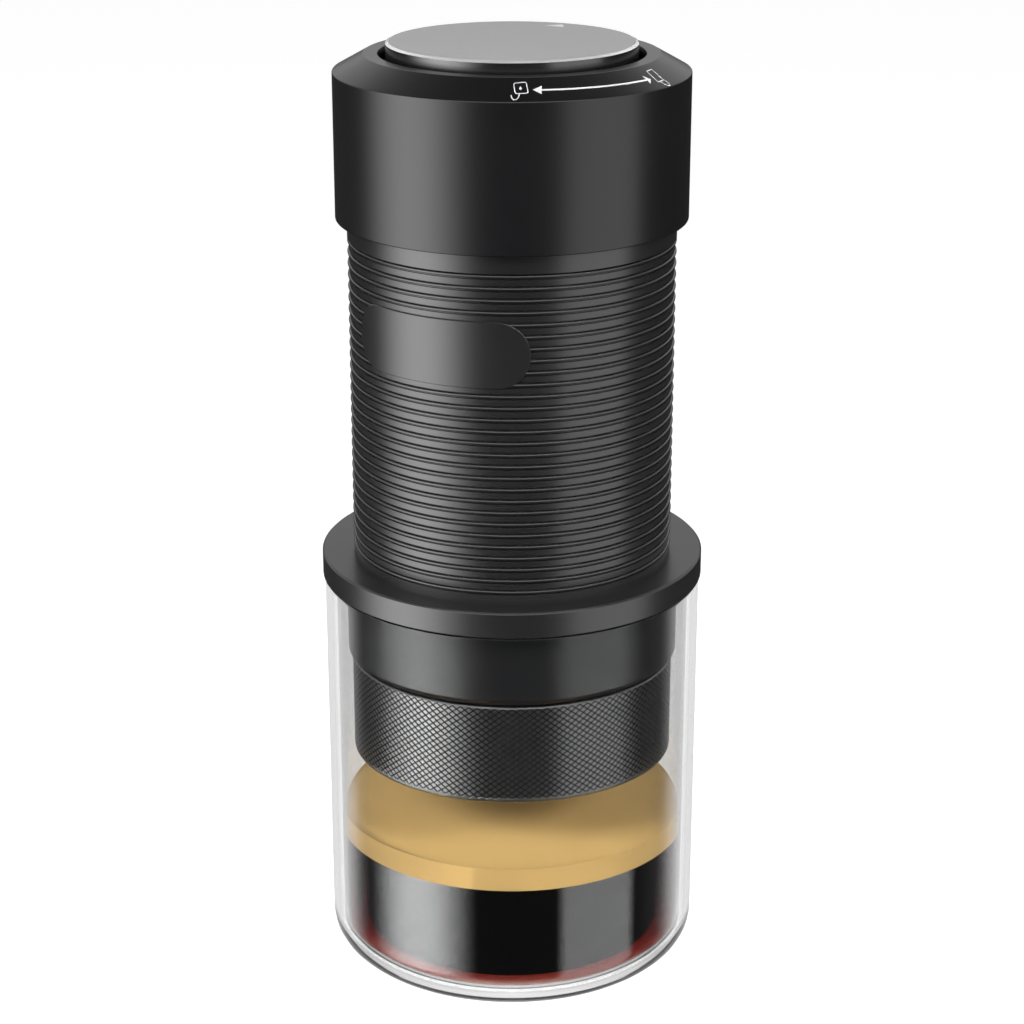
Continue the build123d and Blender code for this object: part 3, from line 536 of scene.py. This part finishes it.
collar_radius, collar_bottom, neck_top = measure("brew_collar")
neck_radius = sleeve_bore - FLANGE_FIT
collar_bore = collar_radius - COLLAR_WALL
collar = lathe("collar_turned", finishes["black_anodised"], soften(
    (collar_bore, collar_bottom), (collar_radius - COLLAR_BEVEL / 2, collar_bottom, EDGE),
    (collar_radius, collar_bottom + COLLAR_BEVEL, EDGE), (collar_radius, flange_bottom),
    (neck_radius, flange_bottom), (neck_radius, neck_top), (neck_radius - NECK_WALL, neck_top),
    (neck_radius - NECK_WALL, flange_bottom - SHOULDER), (collar_bore, flange_bottom - SHOULDER)))
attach(collar, "maker")
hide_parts("brew_collar")
print("flange and collar are", round((flange_top - collar_bottom) / MM, 2), "mm high together")

# %% [markdown]
# ## The ribbed tank sleeve
# The grip is a row of thin beads, and each bead stands between two narrow grooves. From above, the upper
# slope of every bead catches the light as a fine bright line, and the groove over it stays black. That
# reading only works with real shape, so the whole profile is spun on the lathe, bead by bead.

# %% Ribbed sleeve
RIB_COUNT = 28
RIB_SPACING = 2.148 * MM
RIB_START = 1.47 * MM  # first bead above the flange ring
BEAD_HALF = 0.30 * MM
GROOVE_WIDTH = 0.26 * MM
GROOVE_DEPTH = 0.26 * MM
GROOVE_LEAN = EDGE / 4  # how far a groove's wall leans
BEAD_STEPS = 6

land_radius = rib_radius - RIB_PROUD
groove_radius = land_radius - GROOVE_DEPTH
groove_end = BEAD_HALF + GROOVE_WIDTH
profile = [(sleeve_bore, sleeve_top), (sleeve_bore, flange_top), (land_radius, flange_top)]
for rib in range(RIB_COUNT):
    middle = flange_top + RIB_START + rib * RIB_SPACING
    profile += [(land_radius, middle - groove_end), (groove_radius, middle - groove_end + GROOVE_LEAN),
                (groove_radius, middle - BEAD_HALF - GROOVE_LEAN)]
    for step in range(BEAD_STEPS + 1):
        swing = math.pi * step / BEAD_STEPS
        profile.append((land_radius + RIB_PROUD * math.sin(swing), middle - BEAD_HALF * math.cos(swing)))
    above_radius = rib_radius if rib == RIB_COUNT - 1 else land_radius
    profile += [(groove_radius, middle + BEAD_HALF + GROOVE_LEAN),
                (groove_radius, middle + groove_end - GROOVE_LEAN), (above_radius, middle + groove_end)]
profile.append((rib_radius, sleeve_top))
sleeve = lathe("ribbed_sleeve", finishes["ribbed_anodised"], profile)
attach(sleeve, "maker")
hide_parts("tank_sleeve")
print("sleeve:", RIB_COUNT, "beads,", len(sleeve.data.polygons), "faces")

# %% [markdown]
# A smooth pad interrupts the ribs. It is a strip with round ends, bent round the tank and left bare. A
# grid of points fills the round-ended outline, and each point is wrapped onto the cylinder. The rim of
# the strip is rounded over and goes down into the ribs.

# %% Smooth pad
PAD_LENGTH = 36.8 * MM
PAD_HEIGHT = 12.0 * MM
PAD_PROUD = 0.05 * MM
PAD_ANGLE = math.radians(-28.8)  # from the front, towards -X
PAD_DROP = 14.0 * MM  # pad centre below the last bead
PAD_ROOT = 0.5 * MM  # how deep its rim goes into the ribs
PAD_EDGE = 0.12 * MM
PAD_END_STEPS = 40
PAD_RUN_STEPS = 60

last_rib = flange_top + RIB_START + (RIB_COUNT - 1) * RIB_SPACING
pad_middle = last_rib - PAD_DROP
pad_half = PAD_HEIGHT / 2
half_run = PAD_LENGTH / 2 - pad_half


def on_tank(along, up, radius):
    """A point on a cylinder, by the length round it from the front."""
    angle = along / rib_radius
    return (radius * math.sin(angle), -radius * math.cos(angle), up)


def pad_column(along):
    """Half the height of the pad at some length from its middle."""
    past = max(abs(along) - half_run, 0)
    return math.sqrt(max(pad_half ** 2 - past ** 2, 0))


ends = [half_run + pad_half * math.sin(math.pi / 2 * k / PAD_END_STEPS)
        for k in range(1, PAD_END_STEPS + 1)]
stations = [-x for x in reversed(ends)]
stations += [half_run * (2 * k / PAD_RUN_STEPS - 1) for k in range(PAD_RUN_STEPS + 1)]
stations += ends
pad_points, pad_faces = [], []
# (inset, radius) from the rim's root to the face
layers = ((0.0, rib_radius - PAD_ROOT), (0.0, rib_radius + PAD_PROUD - PAD_EDGE),
          (PAD_EDGE, rib_radius + PAD_PROUD))
for along in stations:
    tall = pad_column(along)
    for side in (-1, 1):
        for inset, radius in (layers if side < 0 else layers[::-1]):
            place = along * (1 - inset * 2 / PAD_LENGTH) + PAD_ANGLE * rib_radius
            shrink = 1 - inset / pad_half
            pad_points.append(on_tank(place, pad_middle + side * tall * shrink, radius))
row = 2 * len(layers)
for k in range(len(stations) - 1):
    for j in range(row):
        n = (j + 1) % row
        pad_faces.append((k * row + j, (k + 1) * row + j, (k + 1) * row + n, k * row + n))
pad = make_piece("smooth_pad", pad_points, pad_faces, finishes["ribbed_anodised"])
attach(pad, "maker")
print("pad:", round(PAD_LENGTH / MM, 1), "x", round(PAD_HEIGHT / MM, 1), "mm")

# %% [markdown]
# ## The knurled holder
# A knurling tool rolls two sets of slanting grooves into the holder, and between them stand small flat
# diamonds. A bump texture would give no true outline, so each diamond is modelled: four raised corners,
# and four groove crossings that it shares with its neighbours. Half diamonds close both edges, and the
# rest of the holder is spun with the same spacing, so the mesh has no seam.

# %% Holder profile
HOLDER_BEVEL = 0.26 * MM
HOLDER_WALL = 2.98 * MM
HOLDER_FLOOR = 1.8 * MM
HOLDER_THREAD = 7.6 * MM
LEDGE_BORE = 25.6 * MM
SPOUT_SEAT = 8.05 * MM
KNURL_HEIGHT = 18.0 * MM
KNURLS = 124  # diamonds round the holder
KNURL_ROWS = 30  # half diamonds from the bottom edge to the top edge
KNURL_FLAT = 0.76  # how much of a diamond is its flat top
KNURL_DEPTH = 0.15 * MM

holder_radius, holder_bottom, holder_top = measure("filter_holder")
holder_bore = holder_radius - HOLDER_WALL
holder_ledge = holder_top - HOLDER_THREAD
knurl_top = holder_top - HOLDER_BEVEL
knurl_bottom = knurl_top - KNURL_HEIGHT
holder_round = (knurl_bottom - holder_bottom) / (1 + SUPPORT)
half_turn = math.pi / KNURLS
half_rise = KNURL_HEIGHT / KNURL_ROWS
holder_floor = holder_bottom + HOLDER_FLOOR

inside = soften(
    (holder_radius, knurl_top), (holder_radius - HOLDER_BEVEL, holder_top, EDGE / 2),
    (holder_bore, holder_top), (holder_bore, holder_ledge), (LEDGE_BORE, holder_ledge),
    (LEDGE_BORE, holder_floor), (SPOUT_SEAT, holder_floor), (SPOUT_SEAT, holder_bottom),
    (holder_radius, holder_bottom, holder_round))
steps = [2 * k + part for k in range(KNURLS) for part in (0, 1 - KNURL_FLAT, 1 + KNURL_FLAT)]
knurl_points, knurl_faces = [], []
rows = spin(knurl_points, knurl_faces, inside, [half_turn * step for step in steps], closed=False)
print("diamond:", round(2 * half_turn * holder_radius / MM, 3), "x", round(2 * half_rise / MM, 3), "mm")

# %% Knurl
GROOVE_FROM = KNURL_DEPTH / 4  # a face with its middle deeper than this belongs to a groove
AROUND = 2 * KNURLS  # half diamonds round the holder


def knurl_point(across, up, radius):
    """Adds a point, placed in half diamonds, and returns its number."""
    angle = half_turn * across
    height = knurl_bottom + half_rise * up
    knurl_points.append((radius * math.cos(angle), radius * math.sin(angle), height))
    return len(knurl_points) - 1


crossings = {}
share = 1 - KNURL_DEPTH / holder_radius
for edge, up in ((rows[-1], 0), (rows[0], KNURL_ROWS)):
    for k in range(KNURLS):
        here = edge[3 * k]
        x, y, z = knurl_points[here]
        knurl_points[here] = (x * share, y * share, z)
        crossings[2 * k, up] = here
for up in range(1, KNURL_ROWS):
    for across in range(up % 2, AROUND, 2):
        crossings[across, up] = knurl_point(across, up, holder_radius - KNURL_DEPTH)

for up in range(KNURL_ROWS + 1):
    for across in range((up + 1) % 2, AROUND, 2):
        left = crossings[(across - 1) % AROUND, up]
        right = crossings[(across + 1) % AROUND, up]
        if 0 < up < KNURL_ROWS:
            flat_left = knurl_point(across - KNURL_FLAT, up, holder_radius)
            flat_right = knurl_point(across + KNURL_FLAT, up, holder_radius)
        else:
            edge = rows[0] if up else rows[-1]
            flat_left = edge[3 * (across // 2) + 1]
            flat_right = edge[3 * (across // 2) + 2]
        flat = [flat_left]
        if up > 0:
            low = crossings[across, up - 1]
            flat_low = knurl_point(across, up - KNURL_FLAT, holder_radius)
            knurl_faces += [(left, low, flat_low, flat_left), (low, right, flat_right, flat_low)]
            flat.append(flat_low)
        flat.append(flat_right)
        if up < KNURL_ROWS:
            high = crossings[across, up + 1]
            flat_high = knurl_point(across, up + KNURL_FLAT, holder_radius)
            knurl_faces += [(right, high, flat_high, flat_right), (high, left, flat_left, flat_high)]
            flat.append(flat_high)
        knurl_faces.append(flat)
holder = make_piece(
    "knurled_holder", knurl_points, knurl_faces, finishes["knurled_anodised"], groove_shade_finish)
# Faces down in the grooves get the groove finish, which paints shade into them on top of their real
# depth.
for face in holder.data.polygons:
    middle = face.center
    sunk = math.hypot(middle.x, middle.y) < holder_radius - GROOVE_FROM
    outward = face.normal.x * middle.x + face.normal.y * middle.y > 0
    if knurl_bottom < middle.z < knurl_top and sunk and outward:
        face.material_index = 1
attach(holder, "holder")
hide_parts("filter_holder")
print("holder:", len(holder.data.polygons), "faces")

# %% [markdown]
# ## Cap and knob
# The cap is a turned shell with a shallow cone and a flat ring at its top. A small chamfer leads into its
# opening, where the knob sits with a dark gap all round. The knob's edge is cut bright, so the faces of
# that bevel get a second material. Three lugs on the knob ride under ledges inside the cap.

# %% Cap shell
CAP_WALL = 1.58 * MM
CAP_CONE = 3.1 * MM
CAP_CONE_WIDTH = 5.58 * MM
CAP_RING_WIDTH = 2.9 * MM
CAP_TOP_THICK = 1.7 * MM
CAP_FOOT_ROUND = 0.25 * MM
CAP_CORNER_ROUND = 0.30 * MM
LEAD_IN = 0.35 * MM  # the chamfer at the opening
LEAD_DEPTH = 1.0 * MM

cap_radius, cap_bottom, cap_top = measure("cap_shell")
cap_corner = cap_top - CAP_CONE
cap_flat_radius = cap_radius - CAP_CONE_WIDTH
opening_radius = cap_flat_radius - CAP_RING_WIDTH
cap_under = cap_top - CAP_TOP_THICK
inner_corner = cap_corner - CAP_TOP_THICK + CAP_WALL * CAP_CONE / CAP_CONE_WIDTH
cap = lathe("turned_cap", cap_finish, soften(
    (cap_radius - CAP_WALL, cap_bottom), (cap_radius, cap_bottom, CAP_FOOT_ROUND),
    (cap_radius, cap_corner, CAP_CORNER_ROUND), (cap_flat_radius, cap_top, CAP_CORNER_ROUND),
    (opening_radius + LEAD_IN, cap_top, EDGE), (opening_radius, cap_top - LEAD_DEPTH),
    (opening_radius, cap_under), (cap_flat_radius, cap_under),
    (cap_radius - CAP_WALL, inner_corner)))
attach(cap, "cap")
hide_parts("cap_shell")
print("cap:", round(2 * cap_radius / MM, 2), "mm wide")

# %% Knob shell
KNOB_GAP = 1.05 * MM
KNOB_WALL = 1.25 * MM
KNOB_BEVEL_WIDTH = 0.62 * MM
KNOB_BEVEL_DROP = 0.32 * MM
KNOB_DECK = 1.5 * MM
ACCESS_RADIUS = 5.0 * MM
FINE_EDGE = 0.06 * MM
TILT = 0.1  # the bright faces look up at least this much
LUG_COUNT = 3
LUG_SPAN = math.radians(24)
LUG_THICK = 1.5 * MM
LUG_ROOT = 0.5 * MM
LUG_STEPS = 24

knob_radius = opening_radius - KNOB_GAP
knob_reach, knob_bottom, knob_top = measure("knob_shell")
_, plate_bottom, _ = measure("knob_plate")
rim_radius = knob_radius - KNOB_BEVEL_WIDTH
skirt_bore = knob_radius - KNOB_WALL
deck_bottom = plate_bottom - KNOB_DECK
knob_points, knob_faces = [], []
bevel_foot = knob_top - KNOB_BEVEL_DROP
shell_outline = soften(
    (skirt_bore, knob_bottom), (knob_radius, knob_bottom), (knob_radius, bevel_foot, FINE_EDGE),
    (rim_radius, knob_top, FINE_EDGE), (rim_radius, plate_bottom), (ACCESS_RADIUS, plate_bottom),
    (ACCESS_RADIUS, deck_bottom), (skirt_bore, deck_bottom))
spin(knob_points, knob_faces, shell_outline, FULL_TURN)
lug_top = knob_bottom + LUG_THICK
lug_outline = soften(
    (knob_radius - LUG_ROOT, knob_bottom), (knob_reach, knob_bottom, EDGE),
    (knob_reach, lug_top, EDGE), (knob_radius - LUG_ROOT, lug_top))
for lug in range(LUG_COUNT):
    start = 2 * math.pi * lug / LUG_COUNT - LUG_SPAN / 2
    turn = [start + LUG_SPAN * k / LUG_STEPS for k in range(LUG_STEPS + 1)]
    spin(knob_points, knob_faces, lug_outline, turn, full=False)
knob = make_piece("turned_knob", knob_points, knob_faces, finishes["knob_anodised"], bright_cut)
cut_faces = 0
for face in knob.data.polygons:
    reach = math.hypot(face.center.x, face.center.y)
    if face.center.z > bevel_foot and face.normal.z > TILT and reach > rim_radius:
        face.material_index = 1
        cut_faces += 1
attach(knob, "knob")
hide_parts("knob_shell")
print("knob:", cut_faces, "faces are cut bright")

# %% Knob plate
PLATE_EDGE = 0.1 * MM

plate = lathe("pale_plate", finishes["grey_plate"], soften(
    (0, plate_bottom), (rim_radius, plate_bottom), (rim_radius, knob_top, PLATE_EDGE), (0, knob_top)))
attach(plate, "knob")
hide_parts("knob_plate")
print("plate:", round(2 * rim_radius / MM, 2), "mm wide")

# %% [markdown]
# ## Printed marks
# White ink on the cap says which way the knob turns: a shut padlock, a curved double arrow and an open
# padlock, and a small triangle on the plate points at them. Ink has a thickness, though a tiny one. Each
# line is drawn as a thin closed strip that follows the cone, so it needs no image.

# %% Drawing tools
INK = 0.03 * MM  # how far the print stands up
INK_ROOT = 0.05 * MM  # how deep its underside goes in
MARK_RADIUS = 30.0 * MM  # where an angle is turned into a length
MARK_INSET = 0.45 * MM  # moves all the marks towards the axis
MITRE_LIMIT = 0.5  # keeps the joint of two lines from growing into a spike
CORNER_STEPS = 4


def on_cone(point, lift):
    """A point on the cap's cone, from (length round the axis, radius)."""
    angle, radius = point[0] / MARK_RADIUS, point[1]
    rise = (cap_radius - radius) * CAP_CONE / CAP_CONE_WIDTH
    return (radius * math.sin(angle), -radius * math.cos(angle), cap_corner + rise + lift)


def on_plate(point, lift):
    return (point[0], point[1], knob_top + lift)


def drawn(*pairs):
    """Turns (degrees from the front, radius in mm) into drawing points."""
    return [Vector((math.radians(angle) * MARK_RADIUS, radius * MM - MARK_INSET))
            for angle, radius in pairs]


def strip(line, width, closed=False):
    """The cells of a drawn line: four-sided pieces with mitred joints."""
    if closed:
        padded = [line[-1], *line, line[0]]
    else:
        padded = [line[0] * 2 - line[1], *line, line[-1] * 2 - line[-2]]
    rails = []
    for before, here, after in zip(padded, padded[1:], padded[2:]):
        into, out = (here - before).normalized(), (after - here).normalized()
        across = (into.orthogonal() + out.orthogonal()).normalized()
        reach = width / 2 / max(across.dot(into.orthogonal()), MITRE_LIMIT)
        rails.append((here + across * reach, here - across * reach))
    if closed:
        rails.append(rails[0])
    return [(here[1], there[1], there[0], here[0]) for here, there in zip(rails, rails[1:])]


def print_marks(name, cells, place):
    """One thin closed solid for each cell, all in one piece."""
    points, faces = [], []
    for cell in cells:
        turn = sum(a.x * b.y - b.x * a.y for a, b in zip(cell, cell[1:] + cell[:1]))
        # drawing on the cone mirrors a cell, so its corners run the other way
        corners = cell if (turn > 0) != (place is on_cone) else cell[::-1]
        start, size = len(points), len(corners)
        points += [place(p, INK) for p in corners] + [place(p, -INK_ROOT) for p in corners]
        faces += [[start + k for k in range(size)], [start + size + k for k in reversed(range(size))]]
        for k in range(size):
            n = (k + 1) % size
            faces.append([start + size + k, start + size + n, start + n, start + k])
    piece = make_piece(name, points, faces, white_print)
    return piece


def rounded(corners, rounding):
    """A closed line through the corners, with each corner rounded."""
    line = []
    for k, here in enumerate(corners):
        back = (corners[k - 1] - here).normalized() * rounding
        onward = (corners[(k + 1) % len(corners)] - here).normalized() * rounding
        for step in range(CORNER_STEPS + 1):
            share = step / CORNER_STEPS
            line.append(here + back * (1 - share) ** 2 + onward * share ** 2)
    return line


print("ink stands", round(INK / MM, 2), "mm proud")

# %% Cap marks
LOCK_LINE = 0.15 * MM
SHAFT_LINE = 0.32 * MM
LOCK_ROUND = 0.45 * MM
HOOK_STEPS = 10
SHAFT_STEPS = 40


def hook(first, tip, last):
    """Half an ellipse from the first drawing point round the tip to the last."""
    middle = (first + last) / 2
    return [middle + (first - middle) * math.cos(t) + (tip - middle) * math.sin(t)
            for t in (math.pi * k / HOOK_STEPS for k in range(HOOK_STEPS + 1))]


shut_box = drawn((0.56, 28.21), (4.93, 27.98), (5.18, 30.51), (1.03, 30.64))
shut_hook = drawn((2.30, 30.63), (0.98, 31.98), (-0.28, 30.93))
drop = drawn((2.81, 28.95), (3.30, 29.45), (2.81, 29.80), (2.32, 29.45))
open_box = drawn((55.88, 28.37), (59.81, 28.29), (58.59, 31.00), (54.80, 31.05))
open_hook = drawn((56.00, 31.10), (57.90, 32.40), (58.90, 31.00))
left_head = drawn((6.80, 29.77), (10.08, 28.93), (9.60, 29.90), (9.43, 30.80))
right_head = drawn((53.09, 30.16), (50.94, 29.12), (51.10, 30.10), (50.52, 31.06))
shaft_start, shaft_end = drawn((9.20, 29.85), (51.20, 30.10))
shaft = [shaft_start.lerp(shaft_end, k / SHAFT_STEPS) for k in range(SHAFT_STEPS + 1)]

cells = strip(rounded(shut_box, LOCK_ROUND), LOCK_LINE, closed=True)
cells += strip(hook(*shut_hook), LOCK_LINE)
cells += strip(rounded(open_box, LOCK_ROUND / 2), LOCK_LINE, closed=True)
cells += strip(hook(*open_hook), LOCK_LINE)
cells += strip(shaft, SHAFT_LINE)
for shape in (drop, left_head, right_head):
    cells += [shape[:3], [shape[0], *shape[2:]]]
cap_marks = print_marks("cap_marks", cells, on_cone)
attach(cap_marks, "cap")

triangle = [Vector((6.29, 16.63)) * MM, Vector((9.47, 14.86)) * MM, Vector((9.34, 17.82)) * MM]
knob_mark = print_marks("knob_mark", [triangle], on_plate)
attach(knob_mark, "knob")
print("marks:", len(cells) + 1, "printed cells")

# %% [markdown]
# ## The pieces that stay as the CAD made them
# The inner works already have their right shape, and most are hidden at rest. They show when the maker is
# lifted, the holder comes off or the knob is pumped. Each takes the finish of its own slot.

# %% Finishes on the carried-over pieces
slot_of = {row["node"]: row["material_slot"] for row in frame["record"]["subparts"]}
dressed = 0
for name, node in frame["nodes"].items():
    if slot_of[name] not in finishes or node.hide_render:
        continue
    if not node.data.materials:
        node.data.materials.append(None)
    for slot in node.material_slots:
        slot.link = "OBJECT"
        slot.material = finishes[slot_of[name]]
    dressed += 1
print("dressed", dressed, "carried-over pieces")

# %% [markdown]
# ## Floor
# The floor is plain and white. It takes a little real light, so the object's shadow stays on it, and the
# camera sees a steady white glow on top of that. It is left out of reflections, because the panels below
# stand in for a studio that wraps right round the object.

# %% Floor
FLOOR_HALF = 3.0
FLOOR_COLOUR = (0.5, 0.5, 0.5, 1)
FLOOR_GLOW = 0.72
FLOOR_GAP = 0.01 * MM  # keeps the floor and the cup's foot apart

floor_mesh = bpy.data.meshes.new("floor")
floor_corners = ((-1, -1), (1, -1), (1, 1), (-1, 1))
floor_mesh.from_pydata([(x * FLOOR_HALF, y * FLOOR_HALF, 0) for x, y in floor_corners], [],
                       [(0, 1, 2, 3)])
floor_piece = bpy.data.objects.new("floor", floor_mesh)
scene.collection.objects.link(floor_piece)
floor_piece.location.z = cad_box[0][2] - FLOOR_GAP
floor_piece.visible_glossy = False


def ray_history(tree):
    """The Light Path node, and whether the ray was scattered and whether it was mirrored (0 or 1)."""
    path = tree.nodes.new("ShaderNodeLightPath")
    return (path, maths(tree, "MINIMUM", path.outputs["Diffuse Depth"], 1.0),
            maths(tree, "MINIMUM", path.outputs["Glossy Depth"], 1.0))


floor_material = bpy.data.materials.new("floor")
floor_material.use_nodes = True
tree = floor_material.node_tree
tree.nodes.remove(tree.nodes["Principled BSDF"])
matt = tree.nodes.new("ShaderNodeBsdfDiffuse")
matt.inputs["Color"].default_value = FLOOR_COLOUR
glow = tree.nodes.new("ShaderNodeEmission")
path, scattered, mirrored = ray_history(tree)
direct = maths(tree, "SUBTRACT", 1.0, maths(tree, "MAXIMUM", scattered, mirrored))
tree.links.new(maths(tree, "MULTIPLY", direct, FLOOR_GLOW), glow.inputs["Strength"])
both = tree.nodes.new("ShaderNodeAddShader")
tree.links.new(matt.outputs[0], both.inputs[0])
tree.links.new(glow.outputs[0], both.inputs[1])
under = tree.nodes.new("ShaderNodeMixShader")
gone = maths(tree, "MAXIMUM", tree.nodes.new("ShaderNodeNewGeometry").outputs["Backfacing"],
             maths(tree, "SUBTRACT", mirrored, scattered))
tree.links.new(gone, under.inputs["Fac"])
tree.links.new(both.outputs[0], under.inputs[1])
tree.links.new(tree.nodes.new("ShaderNodeBsdfTransparent").outputs[0], under.inputs[2])
tree.links.new(under.outputs[0], tree.nodes["Material Output"].inputs["Surface"])
floor_mesh.materials.append(floor_material)
print("floor at", round(floor_piece.location.z / MM, 2), "mm")

# %% [markdown]
# ## Studio world
# Black metal shows little but its reflections, so the studio is built for them. The world looks different
# to each kind of ray: white to the camera and through glass, an even grey for soft light, and for
# reflections a dark room with tall soft panels. A panel is a span of compass direction with soft edges.

# %% World
ROOM = 0.03  # the dark room between the panels
FILL = 0.48  # the even light that the world gives
WHITE = 1.0
# centre and half width in degrees from the front towards +X, edge softness, strength
PANELS = ((-66.0, 24.0, 40.0, 4.7), (60.5, 26.5, 10.0, 1.45))
PANEL_TOP = (0.75, 0.45)  # height of direction where a panel ends, and where it starts to fade
PANEL_FOOT = (-0.85, -0.55)
FRONT_PANEL = (0.0, 60.0, 40.0, 2.6)
FRONT_RISE = (0.25, 0.50)  # the front panel hangs high: where it starts, and where it is full
FRONT_END = (0.92, 0.80)  # its upper end: where it is gone, and where it starts to fade
# the dome over the back: (height of direction, level)
DOME = ((0.0, 0.03), (0.05, 0.05), (0.11, 0.75), (0.20, 0.80), (0.34, 0.65), (0.47, 0.90), (0.64, 0.40),
        (0.75, 0.20), (0.90, 0.04))

world = bpy.data.worlds.new("studio")
world.use_nodes = True
world.cycles.sampling_method = "NONE"
scene.world = world
tree = world.node_tree
background = tree.nodes["Background"]
background.inputs["Color"].default_value = (1, 1, 1, 1)
direction = tree.nodes.new("ShaderNodeSeparateXYZ")
tree.links.new(tree.nodes.new("ShaderNodeTexCoord").outputs["Generated"], direction.inputs[0])
height = direction.outputs["Z"]
compass = maths(tree, "ARCTAN2", direction.outputs["X"],
                maths(tree, "MULTIPLY", direction.outputs["Y"], -1.0))


def soft_step(tree, value, start, end):
    """Goes smoothly from 0 at the start to 1 at the end, which may be the lower of the two."""
    node = tree.nodes.new("ShaderNodeMapRange")
    node.interpolation_type = "SMOOTHSTEP"
    node.inputs["From Min"].default_value = start
    node.inputs["From Max"].default_value = end
    tree.links.new(value, node.inputs["Value"])
    return node.outputs["Result"]


def panel(tree, compass, centre, half_width, soft, strength):
    """The light of one panel, from its compass span alone."""
    away = maths(tree, "SUBTRACT", compass, math.radians(centre))
    away = maths(tree, "PINGPONG", maths(tree, "ABSOLUTE", away), math.pi)
    edges = [math.radians(half_width + side * soft / 2) for side in (1, -1)]
    return maths(tree, "MULTIPLY", soft_step(tree, away, *edges), strength)


def level_ramp(tree, value, stops):
    """The level at a value, on straight lines between (place, level) stops."""
    node = tree.nodes.new("ShaderNodeValToRGB")
    ramp = node.color_ramp
    while len(ramp.elements) < len(stops):
        ramp.elements.new(1.0)
    for element, (place, level) in zip(ramp.elements, stops):
        element.position = place
        element.color = (level, level, level, 1)
    tree.links.new(value, node.inputs["Fac"])
    return node.outputs["Color"]


def either(tree, choice, first, second):
    """The first value where choice is 0, the second where it is 1."""
    node = tree.nodes.new("ShaderNodeMix")
    tree.links.new(choice, node.inputs["Factor"])
    feed(tree, first, node.inputs["A"])
    feed(tree, second, node.inputs["B"])
    return node.outputs["Result"]


sides = ROOM
for row in PANELS:
    sides = maths(tree, "ADD", panel(tree, compass, *row), sides)
for fade in (PANEL_TOP, PANEL_FOOT):
    sides = maths(tree, "MULTIPLY", sides, soft_step(tree, height, *fade))
front = panel(tree, compass, *FRONT_PANEL)
for fade in (FRONT_RISE, FRONT_END):
    front = maths(tree, "MULTIPLY", front, soft_step(tree, height, *fade))
room_light = maths(tree, "MAXIMUM", sides, front)
room_light = maths(tree, "MAXIMUM", room_light, level_ramp(tree, height, DOME))
print("panels:", len(PANELS) + 1)

# %% [markdown]
# Clear glass mirrors the room too, but in a studio the panels are flagged off so that the glass stays
# clear. The world can do the same. A ray that was mirrored by glass is a sharp one, and it has passed at
# most seven glass surfaces. Such rays see a dim room that is only light at the back.

# %% Which ray sees what
GLASS_SURFACES = 7  # more than this many were passed: the ray was mirrored by metal in the cup
# what the glass mirrors: (share of the way from front to back, level)
GLASS_ROOM = ((0.0, 0.01), (0.50, 0.02), (0.62, 0.06), (0.72, 0.70), (1.0, 0.92))
GLASS_FLOOR = (-0.56, -0.72)  # heights between which the pale floor starts to show in the glass
GLASS_SKY = (0.0, 0.20)  # and the pale ceiling
GLASS_PALE = 0.70  # how pale both are
CUP_GAIN = 1.25  # makes up for what the glass takes

path, scattered, mirrored = ray_history(tree)
passed = path.outputs["Transmission Depth"]
outside = maths(tree, "MULTIPLY", maths(tree, "LESS_THAN", passed, 0.5),
                maths(tree, "SUBTRACT", 1.0, path.outputs["Is Singular Ray"]))
in_cup = maths(tree, "GREATER_THAN", passed, GLASS_SURFACES)
by_metal = maths(tree, "MAXIMUM", in_cup, outside)
gain = maths(tree, "ADD", 1.0, maths(tree, "MULTIPLY", in_cup, CUP_GAIN - 1.0))
room_light = maths(tree, "MULTIPLY", room_light, gain)
turned_away = maths(tree, "DIVIDE", maths(tree, "ABSOLUTE", compass), math.pi)
pale = maths(tree, "ADD", soft_step(tree, height, *GLASS_FLOOR),
             soft_step(tree, height, *GLASS_SKY))
glass_light = maths(tree, "MAXIMUM", level_ramp(tree, turned_away, GLASS_ROOM),
                    maths(tree, "MULTIPLY", pale, GLASS_PALE))
strength = either(tree, by_metal, glass_light, room_light)
strength = either(tree, scattered, either(tree, mirrored, WHITE, strength), FILL)
tree.links.new(strength, background.inputs["Strength"])
print("world ready")

# %% [markdown]
# ## Lamps
# Three soft area lamps shape the matt surfaces and cast the shadow. Two small ones stand low and throw a
# narrow beam through the glass on to the foam. All are hidden from reflections, because the panels
# already do that job.

# %% Lamps
def soft_lamp(name, place, aim, size, power, spread=180.0):
    """An area lamp that lights matt surfaces only."""
    data = bpy.data.lights.new(name, "AREA")
    data.shape = "DISK"
    data.size = size
    data.energy = power
    data.spread = math.radians(spread)
    lamp = bpy.data.objects.new(name, data)
    lamp.location = place
    lamp.rotation_euler = (Vector(aim) - Vector(place)).to_track_quat("-Z", "Y").to_euler()
    lamp.visible_glossy = False
    lamp.visible_camera = False
    lamp.visible_transmission = False
    scene.collection.objects.link(lamp)


MIDDLE = (0, 0, 90 * MM)
soft_lamp("key", (-0.55, -0.75, 0.75), MIDDLE, size=0.5, power=4.2)
soft_lamp("fill", (0.70, -0.60, 0.45), MIDDLE, size=0.6, power=2.2)
soft_lamp("overhead", (0.0, 0.1, 1.0), MIDDLE, size=0.7, power=0.7)

FOAM_AIM = (0, 0, foam_top - 8 * MM)
for name, side in (("low_left", -0.42), ("low_right", 0.42)):
    soft_lamp(name, (side, -0.32, 0.36), FOAM_AIM, size=0.20, power=0.14, spread=23.0)

scene.view_settings.view_transform = "Standard"
print("five lamps")
